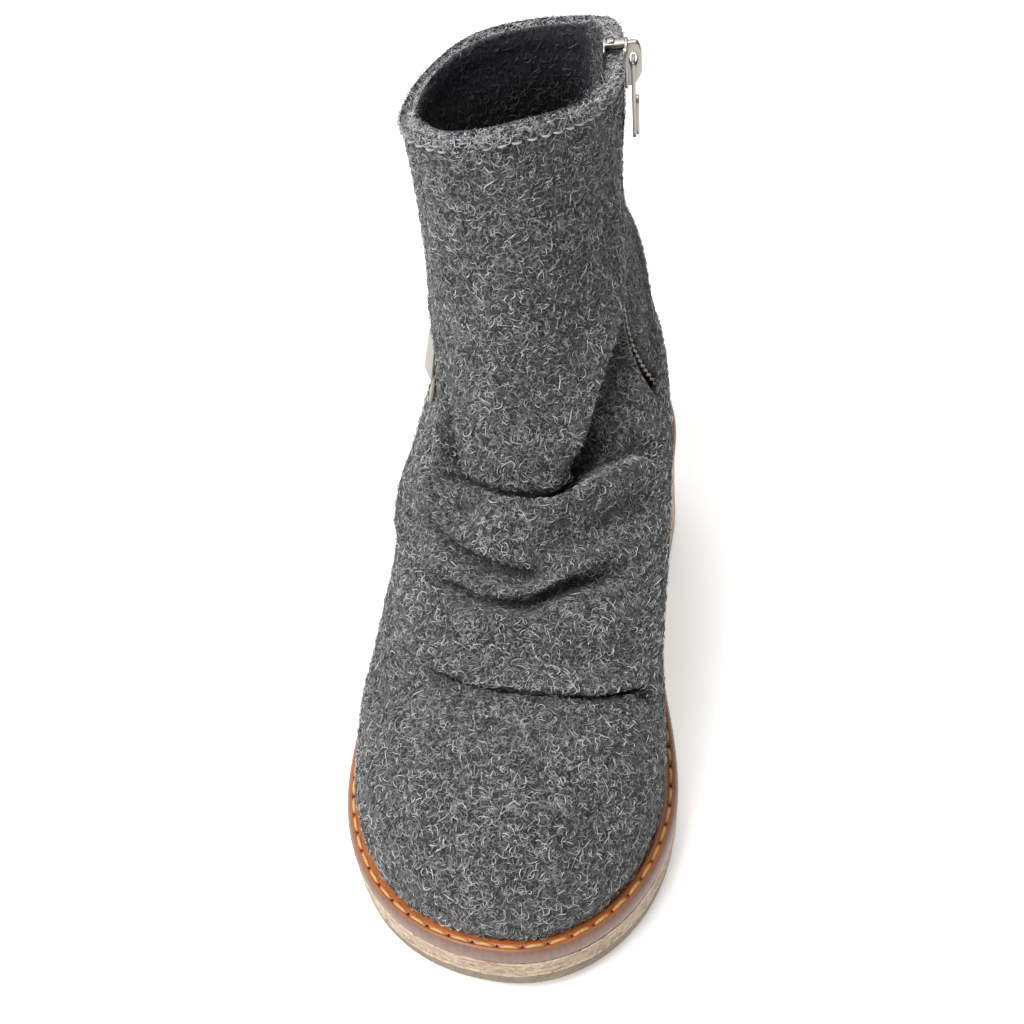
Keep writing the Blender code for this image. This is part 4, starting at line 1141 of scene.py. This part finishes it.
def grain_material(name, light, dark, streak, roughness):
    """Stacked board, sanded and sealed."""
    # Thin pressed layers sanded flush: level streaks of slightly different tone broken by coarse
    # crumbs, satin, rubbed pale along the corners. streak is how tall a streak is in millimetres.
    material, node, shader = new_material(name)
    place = node("TexCoord", out="Object")
    drawn_out = node("Mapping", {"Scale": (0.05, 0.05, 1.0), "Vector": place})
    streaks = node("TexNoise", {
        "Scale": per_mm(streak), "Detail": 5.0, "Roughness": 0.7, "Distortion": 0.4, "Vector": drawn_out})
    flattened = node("Mapping", {"Scale": (0.55, 0.55, 1.0), "Vector": place})
    crumbs = node("TexNoise", {
        "Scale": per_mm(2.0), "Detail": 5.0, "Roughness": 0.75, "Distortion": 1.4, "Vector": flattened})
    cloud = node("TexNoise", {"Scale": per_mm(16.0), "Detail": 3.0, "Vector": place})
    grain = node("Mix", {0: 0.7, 2: streaks, 3: crumbs})
    spread = node("MapRange", {"Value": grain, "From Min": 0.4, "From Max": 0.6})
    tone = node("Mix", {0: spread, 6: rgba(dark), 7: rgba(light)}, 2, data_type="RGBA")
    shade = node("MapRange", {"Value": cloud, "From Min": 0.3, "From Max": 0.7, "To Min": 0.86, "To Max": 1.08})
    toned = node("Mix", {0: 1.0, 6: tone, 7: shade}, 2, data_type="RGBA", blend_type="MULTIPLY")
    corner = node("Attribute", out="Fac", attribute_name="worn")
    wear_and_painted_light = node("Math", {0: corner, 1: 0.9}, operation="MULTIPLY")
    patchy = node("Math", {0: wear_and_painted_light, 1: spread}, operation="MULTIPLY")
    worn = node("Mix", {0: patchy, 6: toned, 7: rgba(light, 1.3)}, 2, data_type="RGBA")
    gloss = node("MapRange", {"Value": streaks, "To Min": roughness - 0.1, "To Max": roughness + 0.12})
    layers = node("Bump", {"Strength": 0.9, "Distance": 0.5 * MM, "Height": grain})
    feed(shader, {"Base Color": worn, "Roughness": gloss, "Normal": layers})
    return material


def metal_material(name, colour, roughness, grit):
    """Plated or blasted metal."""
    # A thin plated skin over a cast body: even tone, a soft sheen and a very fine handling haze.
    # grit is the size of that haze in millimetres, drawn coarse enough to show.
    material, node, shader = new_material(name, Metallic=1.0)
    place = node("TexCoord", out="Object")
    haze = node("TexNoise", {"Scale": per_mm(grit), "Detail": 4.0, "Roughness": 0.6, "Vector": place})
    gloss = (roughness * 0.75, roughness * 1.35)
    one_pattern(node, shader, haze, colour, (0.8, 1.12), gloss, relief=(0.12, 0.05))
    return material


def patch_material(settings):
    """Full-grain leather, rolled."""
    # Small rounded pebbles with darker valleys and a soft gloss.
    material, node, shader = new_material("rolled_patch_leather")
    place = node("TexCoord", out="Object")
    pebbles = node("TexVoronoi", {"Scale": per_mm(1.0), "Vector": place}, feature="SMOOTH_F1")
    one_pattern(node, shader, pebbles, settings.patch, (1.25, 0.6), (0.42, 0.65), relief=(0.4, 0.15), invert=True)
    return material


def tape_material(settings):
    """Woven polyester tape."""
    # Narrow herringbone weave: rows of slanted threads 0.7 mm apart, matt.
    material, node, shader = new_material("woven_zip_tape", Roughness=0.8, Sheen_Weight=0.1)
    place = node("TexCoord", out="Object")
    threads = node(
        "TexWave", {"Scale": per_mm(0.7) / 20.0, "Distortion": 0.6, "Detail": 1.0, "Vector": place}, "Fac",
        bands_direction="DIAGONAL")
    one_pattern(node, shader, threads, settings.tape, (0.5, 1.6), relief=(0.6, 0.2))
    return material


def floor_material(settings):
    """Opal acrylic studio floor, lit from below."""
    # A frosted light table: even, almost white, and it takes the weight out of the shadow.
    material, node, shader = new_material(
        "frosted_opal_floor", Roughness=0.9, Specular_IOR_Level=0.2, Emission_Color=WHITE, Emission_Strength=0.4)
    place = node("TexCoord", out="Object")
    roller = node("TexNoise", {"Scale": per_mm(30.0), "Detail": 3.0, "Vector": place})
    one_pattern(node, shader, roller, settings.floor, (0.99, 1.01))
    return material


def dress_solid(node, material):
    """A better material on a solid of the frame whose shape is right."""
    solid = frame["nodes"][node]
    solid.data.materials.clear()
    solid.data.materials.append(material)


class BOOTIE_OT_felt_upper(Operator):
    """Hollow folded felt upper with its rounded collar and the slit for the zip."""

    bl_idname = "bootie.felt_upper"
    bl_label = "Felt upper"

    def execute(self, context):
        settings = context.scene.bootie_felt
        skin = felt_skin(settings.fold_depth)
        felt, lining = felt_wall(skin)
        mesh = mesh_from("felt_upper", skin.points.reshape(-1, 3), felt + lining)
        mesh.polygons.foreach_set("material_index", [0] * len(felt) + [1] * len(lining))
        materials = (felt_material(settings), lining_material(settings))
        add_piece("felt_upper", mesh, materials, replaces=("upper",))
        # The insole takes the lining and with it the lining's painted shade, darkest low in the boot.
        dress_solid("insole", materials[1])
        return {"FINISHED"}


class BOOTIE_OT_felt_fibres(Operator):
    """Loose wool fibres over the felt, its rim and its lining."""

    bl_idname = "bootie.felt_fibres"
    bl_label = "Felt fibres"

    def execute(self, context):
        settings = context.scene.bootie_felt
        skin = felt_skin(settings.fold_depth)
        facing_rows, facing_columns = skin.facing
        rows = {
            "outside": (0, skin.rim_end),
            "rim": (skin.outer_rows - RIM_FIBRE_ROWS, skin.rim_end),
            "facing": (skin.rim_end, skin.rim_end + facing_rows),
            "lining": (skin.rim_end, skin.rim_end + LINING_FIBRE_ROWS),
        }
        # Paler fleece fibres near the collar: painted light, as on the lining.
        fleece = tuple(FLEECE_PALER * c for c in settings.lining)
        hair = {"fleece": fibre_material("fleece_fibres", fleece, spread=0.6)}
        for grey in ("pale", "mid", "dark"):
            hair[grey] = fibre_material(f"wool_fibres_{grey}", getattr(settings, f"{grey}_fibre"), spread=0.35)
        for style in FIBRES:
            columns = facing_columns if style.where == "facing" else None
            mesh = fibre_mesh(style, skin, rows[style.where], settings, columns)
            add_piece(f"fibres_{style.name}", mesh, (hair[style.hair],))
        return {"FINISHED"}


class BOOTIE_OT_collar_hem(Operator):
    """Row of stitches around the collar, and another down the felt turned in behind the zip."""

    bl_idname = "bootie.collar_hem"
    bl_label = "Collar hem"

    def execute(self, context):
        settings = context.scene.bootie_felt
        thread = thread_material("spun_hem_thread", settings.hem_thread)
        start = zip_u(TOP_LEVEL)
        u = np.linspace(start + HEM_ENDS[0], start + HEM_ENDS[1], HEM_SAMPLES)
        level = TOP_LEVEL - HEM_STITCH_DROP / rim_slope(u)
        hem = form(u, level)
        hem[:, 2] += collar_rise(u, level)
        skin = felt_skin(settings.fold_depth)
        facing_rows, facing_columns = skin.facing
        seam = (slice(skin.rim_end + 1, skin.rim_end + facing_rows), facing_columns - FACING_STITCH_COLUMNS)
        seams = (
            ("hem_stitches", "felt", hem, form_normal(u, level), HEM_STITCH),
            ("facing_stitches", "lining", skin.points[seam], skin.normals[seam], FACING_STITCH),
        )
        for name, slot, path, normals, stitch in seams:
            add_piece(name, mesh_from(name, *stitch_line(path, normals, stitch)), (thread,))
        return {"FINISHED"}


class BOOTIE_OT_welt(Operator):
    """Leather welt with its stitch channel, waxed stitches, and awl holes drawn as dark slots of painted shade."""

    bl_idname = "bootie.welt"
    bl_label = "Welt"

    def execute(self, context):
        settings = context.scene.bootie_sole
        mesh = layer_mesh(
            "welt_leather", WELT_EDGES, lambda x, y: welt_top(y) - WELT_THICK, lambda x, y: welt_top(y),
            LEATHER_CORNER)
        add_piece("welt_leather", mesh, (welt_material(settings),), replaces=("welt",))

        x, y = sole_outline(WELT_STITCH_INSET)
        path = np.stack([x, y, welt_top(y) - WELT_STITCH_DROP], -1)
        path = np.concatenate([path, path[:1]])
        slope = unit(np.gradient(path, axis=0))
        sideways = unit(np.cross(slope, (0.0, 0.0, 1.0)))
        normals = np.cross(sideways, slope)
        stitch = WELT_STITCH._replace(pitch=settings.stitch_pitch / MM, length=settings.stitch_length / MM)
        mesh = mesh_from("welt_stitches", *stitch_line(path, normals, stitch))
        thread = thread_material("waxed_linen_thread", settings.thread)
        add_piece("welt_stitches", mesh, (thread,))

        run = path_run(path)
        count = int(run[-1] // stitch.pitch)
        place = np.arange(count) * run[-1] / count
        normal = unit(along_run(place, run, normals))[:, None]
        outward = unit(along_run(place, run, sideways))[:, None]
        t = np.linspace(-1.0, 1.0, AWL_STEPS)
        reach = (AWL_AT[0] + AWL_HALF_LENGTH * t)[None, :, None]
        slots = along_run(place, run, path)[:, None] + outward * reach + normal * AWL_AT[1]
        width = AWL_RADIUS * np.sqrt(np.maximum(1.0 - np.abs(t) ** AWL_BLUNT, AWL_TIP))
        width = np.broadcast_to(width, (count, AWL_STEPS))
        mesh = mesh_from("welt_awl_holes", *tubes(slots, np.repeat(normal, AWL_STEPS, axis=1), width))
        # Painted shade: the welt's own leather, darkened almost to black in slots where the awl holes are.
        hole = welt_material(settings)
        hole.name = "burnt_awl_holes"
        tree = hole.node_tree
        shader = tree.nodes["Principled BSDF"]
        leather = shader.inputs["Base Color"].links[0].from_socket
        painted_hole_shade = {0: 0.85, 6: leather, 7: rgba(settings.welt_top, 0.08)}
        feed(shader, {"Base Color": add_node(tree, "Mix", painted_hole_shade, 2, data_type="RGBA")})
        add_piece("welt_awl_holes", mesh, (hole,))
        return {"FINISHED"}


class BOOTIE_OT_wedge(Operator):
    """Streaked wedge with its upper lip, and the flat outsole below it."""

    bl_idname = "bootie.wedge"
    bl_label = "Wedge and outsole"

    def execute(self, context):
        settings = context.scene.bootie_sole
        wedge = layer_mesh(
            "wedge_stack", WEDGE_EDGES, lambda x, y: sole_bottom(y) + OUTSOLE_THICK + LAYER_GAP + seam_ripple(x, y),
            lambda x, y: welt_top(y) - WELT_THICK - LAYER_GAP, HARD_CORNER)
        board = grain_material(
            "sanded_stacked_board", settings.wedge_light, settings.wedge_dark, streak=1.3, roughness=0.55)
        add_piece("wedge_stack", wedge, (board,), replaces=("wedge",))
        sole = layer_mesh(
            "outsole_layer", OUTSOLE_EDGES, lambda x, y: sole_bottom(y),
            lambda x, y: sole_bottom(y) + OUTSOLE_THICK + seam_ripple(x, y), HARD_CORNER)
        light, dark = (tuple(shade * c for c in settings.outsole) for shade in (1.12, 0.72))
        rubber = grain_material("moulded_crepe_rubber", light, dark, streak=1.8, roughness=0.75)
        add_piece("outsole_layer", sole, (rubber,), replaces=("outsole",))
        return {"FINISHED"}


class BOOTIE_OT_zip(Operator):
    """Zip teeth, one by one, on a woven tape."""

    bl_idname = "bootie.zip"
    bl_label = "Zip"

    def execute(self, context):
        settings = context.scene.bootie_zip
        levels = np.linspace(*TEETH_LEVELS, TEETH_SAMPLES)
        run = path_run(form(zip_u(levels), levels))
        half_pitch = settings.tooth_pitch / MM / 2
        blocks = []
        for k in range(int(run[-1] / half_pitch)):
            level = float(np.interp(k * half_pitch, run, levels))
            low, high = level - LEVEL_STEP, level + LEVEL_STEP
            out = form_normal(zip_u(level), level)
            up = unit(form(zip_u(high), high) - form(zip_u(low), low))
            across = unit(np.cross(up, out))
            aside = TOOTH_ASIDE if k % 2 else -TOOTH_ASIDE
            spot = form(zip_u(level), level) - out * TOOTH_DEPTH + across * aside
            turn = Matrix((out, across, up)).transposed().to_4x4()
            blocks.append(rounded_block(TOOTH_SIZE, TOOTH_ROUND, shift(*spot) @ turn))
        stop = upright_place(zip_u(SLIDER_LEVEL), SLIDER_LEVEL) @ shift(*STOP_AT)
        blocks.append(rounded_block(STOP_SIZE, STOP_ROUND, stop))
        nickel = metal_material("tumbled_nickel_teeth", settings.teeth, roughness=0.3, grit=1.5)
        add_piece("zip_chain", join_meshes("zip_chain", blocks), (nickel,), replaces=("zip_teeth",))
        dress_solid("zip_tape", tape_material(settings))
        return {"FINISHED"}


class BOOTIE_OT_slider(Operator):
    """Zip slider with its pierced bridge, and the pull tab that hangs from it."""

    bl_idname = "bootie.slider"
    bl_label = "Slider and pull tab"

    def execute(self, context):
        settings = context.scene.bootie_zip
        nickel = metal_material("brushed_nickel_slider", settings.nickel, roughness=0.34, grit=2.0)
        place = upright_place(zip_u(SLIDER_LEVEL), SLIDER_LEVEL)
        stand = Matrix(((0, 0, 1, 0), (1, 0, 0, 0), (0, 1, 0, 0), (0, 0, 0, 1)))
        thick, width, height = SLIDER_SIZE
        half, tall = width / 2, height / 2
        right = [(half * x, tall * y) for x, y in SHIELD_SIDE]
        left = [(-x, y) for x, y in right]
        shield = round_loop(left[:1] + right + left[:0:-1], SHIELD_ROUND)
        front = shift(SLIDER_LIFT + SHIELD_THICK / 2, 0, 0)
        face = plate_mesh([shield], SHIELD_THICK, SLIDER_EDGE, place @ front @ stand)
        foot, end, crown = SLIDER_LIFT + thick / 2 - BRIDGE_SINK, BRIDGE_HALF_LENGTH, BRIDGE_CROWN
        dome = round_loop(
            [(foot, -end), (crown - BRIDGE_DROPS[0], -end), (crown, -end * BRIDGE_FLATS[0]),
             (crown, end * BRIDGE_FLATS[1]), (crown - BRIDGE_DROPS[1], end), (foot, end)], BRIDGE_ROUND)
        eye = ellipse_arc(BRIDGE_HOLE[:2], BRIDGE_HOLE[2:], 0, 345, 24)
        bridge = plate_mesh([dome, eye], BRIDGE_WIDTH, SLIDER_EDGE, place @ Matrix.Rotation(pi / 2, 4, "X"))
        neck = rounded_block(NECK_SIZE, NECK_ROUND, place @ shift(NECK_AT[0], 0, tall + NECK_AT[1]))
        back = plate_mesh([shield], BACK_THICK, THIN_EDGE, place @ shift(-WALL - BACK_DEPTH, 0, 0) @ stand)
        body = join_meshes("slider", (face, bridge, neck, back))
        add_piece("slider", body, (nickel,), replaces=("zip_slider",))

        hinge = Matrix.Translation(frame["joints"][0]["pos_m"]) @ place.to_3x3().to_4x4()
        top, tip, wide, side = PULL_BAR / 2, PULL_TIP_HALF_WIDTH, PULL_HALF_WIDTH, WINDOW_HALF_WIDTH
        low = top - PULL_LENGTH + tip
        shoulders = round_loop([(wide, PULL_WAIST), (wide, top), (-wide, top), (-wide, PULL_WAIST)], PULL_ROUND)
        outer = ellipse_arc((0.0, low), (tip, tip), 180, 360, 21)
        outer += shoulders[ROUND_STEPS + 1:3 * (ROUND_STEPS + 1)]
        window = [(side, -top), (-side, -top)]
        window += ellipse_arc((0.0, -top - WINDOW_LENGTH + side), (side, side), 180, 360, 15)
        tab = plate_mesh([outer, window], PULL_THICK, THIN_EDGE, hinge @ stand)
        rim = ellipse_arc((0.0, low + GRIP_LIFT), (tip - GRIP_INSET, tip - GRIP_INSET), 180, 360, 17)
        rim += ellipse_arc((0.0, GRIP_TOP), (tip - GRIP_TOP_INSET, GRIP_CROWN), 0, 180, 13)
        proud = shift(PULL_THICK / 2 + GRIP_PROUD, 0, 0)
        grip = plate_mesh([rim], GRIP_THICK, GRIP_EDGE, hinge @ proud @ stand)
        pull = join_meshes("pull_tab", (tab, grip))
        add_piece("pull_tab", pull, (nickel,), body="pull", replaces=("zip_pull",))
        return {"FINISHED"}


class BOOTIE_OT_side_plate(Operator):
    """Leather patch and bare metal plate on the lateral ankle."""

    bl_idname = "bootie.side_plate"
    bl_label = "Side plate"

    def execute(self, context):
        settings = context.scene.bootie_zip
        depths = (PATCH_LIFT + PATCH_THICK, PATCH_LIFT)
        levels = np.linspace(*PATCH_LEVELS, PATCH_ROWS)
        patch = band_mesh("leather_patch", PATCH_U, levels, PATCH_HALF, depths, PATCH_COLUMNS)
        add_piece("leather_patch", patch, (patch_material(settings),), replaces=("side_patch",))
        half, top, foot = PLATE_HEIGHT / 2, PLATE_TOP_HALF, PLATE_FOOT_HALF
        rim = round_loop([(-foot, -half), (foot, -half), (top, half), (-top, half)], PLATE_ROUND)
        clear = PATCH_LIFT + PLATE_THICK / 2 + half * sin(PLATE_TILT) + PLATE_STAND_OFF
        turn = Euler((pi / 2 - PLATE_TILT, 0.0, pi / 2 + PLATE_TURN)).to_matrix().to_4x4()
        place = upright_place(PATCH_U, PLATE_LEVEL) @ shift(clear, 0, 0) @ turn
        plate = plate_mesh([rim], PLATE_THICK, THIN_EDGE, place)
        metal = metal_material("blasted_plate_metal", settings.plate, roughness=0.48, grit=0.6)
        add_piece("bare_plate", plate, (metal,), replaces=("side_plate",))
        return {"FINISHED"}


class BOOTIE_OT_stage(Operator):
    """Pale floor, soft lights and the camera."""

    bl_idname = "bootie.stage"
    bl_label = "Stage"

    def execute(self, context):
        scene = context.scene
        settings = scene.bootie_stage
        mesh = bpy.data.meshes.new("floor")
        corners = [(x * FLOOR_REACH, y * FLOOR_REACH, 0.0) for x, y in ((-1, -1), (1, -1), (1, 1), (-1, 1))]
        mesh.from_pydata(corners, [], [(0, 1, 2, 3)])
        mesh.materials.append(floor_material(settings))
        floor = bpy.data.objects.new("floor", mesh)
        scene.collection.objects.link(floor)

        for light in LIGHTS:
            lamp = bpy.data.lights.new(light.name, "AREA")
            lamp.energy = getattr(settings, f"{light.name}_power")
            lamp.size = light.size
            holder = bpy.data.objects.new(light.name, lamp)
            holder.location = light.spot
            holder.rotation_euler = (LIGHT_AIM - Vector(light.spot)).to_track_quat("-Z", "Y").to_euler()
            scene.collection.objects.link(holder)

        world = bpy.data.worlds.new("studio")
        world.use_nodes = True
        tree = world.node_tree
        soft = tree.nodes["Background"]
        feed(soft, {"Color": WHITE, "Strength": WORLD_LIGHT})
        paper = add_node(tree, "Background", {"Color": WHITE, "Strength": 1.0})
        seen = add_node(tree, "LightPath", out="Is Camera Ray")
        shown = add_node(tree, "MixShader", {0: seen, 1: soft.outputs[0], 2: paper})
        feed(tree.nodes["World Output"], {"Surface": shown})
        scene.world = world
        scene.view_settings.view_transform = "Standard"

        lens = bpy.data.cameras.new("camera")
        lens.sensor_width = CAMERA_SENSOR
        lens.lens = CAMERA_LENS
        lens.clip_start = CAMERA_CLIP
        camera = bpy.data.objects.new("camera", lens)
        forward = Vector((
            -sin(CAMERA_YAW) * cos(CAMERA_PITCH), cos(CAMERA_YAW) * cos(CAMERA_PITCH), -sin(CAMERA_PITCH)))
        right = Vector((cos(CAMERA_YAW), sin(CAMERA_YAW), 0.0))
        up = right.cross(forward)
        level = Matrix((right, up, -forward)).transposed()
        pan = Quaternion(up, CAMERA_PAN).to_matrix()
        camera.matrix_world = Matrix.Translation(CAMERA_AT) @ (pan @ level).to_4x4()
        scene.collection.objects.link(camera)
        scene.camera = camera
        return {"FINISHED"}


PIECES = (
    BOOTIE_OT_felt_upper, BOOTIE_OT_felt_fibres, BOOTIE_OT_collar_hem, BOOTIE_OT_welt, BOOTIE_OT_wedge,
    BOOTIE_OT_zip, BOOTIE_OT_slider, BOOTIE_OT_side_plate, BOOTIE_OT_stage,
)


class BOOTIE_PT_panel(Panel):
    """Settings of the bootie and a button for each piece."""

    bl_idname = "BOOTIE_PT_panel"
    bl_label = "Wedge ankle bootie"
    bl_space_type = "VIEW_3D"
    bl_region_type = "UI"
    bl_category = "Bootie"

    def draw(self, context):
        for group in SETTINGS:
            settings = getattr(context.scene, group)
            box = self.layout.box()
            for key in settings.__annotations__:
                box.prop(settings, key)
        for piece in PIECES:
            self.layout.operator(piece.bl_idname)


SETTINGS = {
    "bootie_felt": FeltSettings,
    "bootie_sole": SoleSettings,
    "bootie_zip": ZipSettings,
    "bootie_stage": StageSettings,
}


def register():
    """Register the settings, the operators and the panel."""
    for name, group in SETTINGS.items():
        bpy.utils.register_class(group)
        setattr(bpy.types.Scene, name, PointerProperty(type=group))
    for piece in (*PIECES, BOOTIE_PT_panel):
        bpy.utils.register_class(piece)


def unregister():
    """Take back everything that register added."""
    for piece in reversed((*PIECES, BOOTIE_PT_panel)):
        bpy.utils.unregister_class(piece)
    for name, group in reversed(SETTINGS.items()):
        delattr(bpy.types.Scene, name)
        bpy.utils.unregister_class(group)


def main():
    """Build every piece and the stage."""
    register()
    bpy.ops.bootie.felt_upper()
    bpy.ops.bootie.felt_fibres()
    bpy.ops.bootie.collar_hem()
    bpy.ops.bootie.welt()
    bpy.ops.bootie.wedge()
    bpy.ops.bootie.zip()
    bpy.ops.bootie.slider()
    bpy.ops.bootie.side_plate()
    bpy.ops.bootie.stage()


if __name__ == "__main__":
    main()
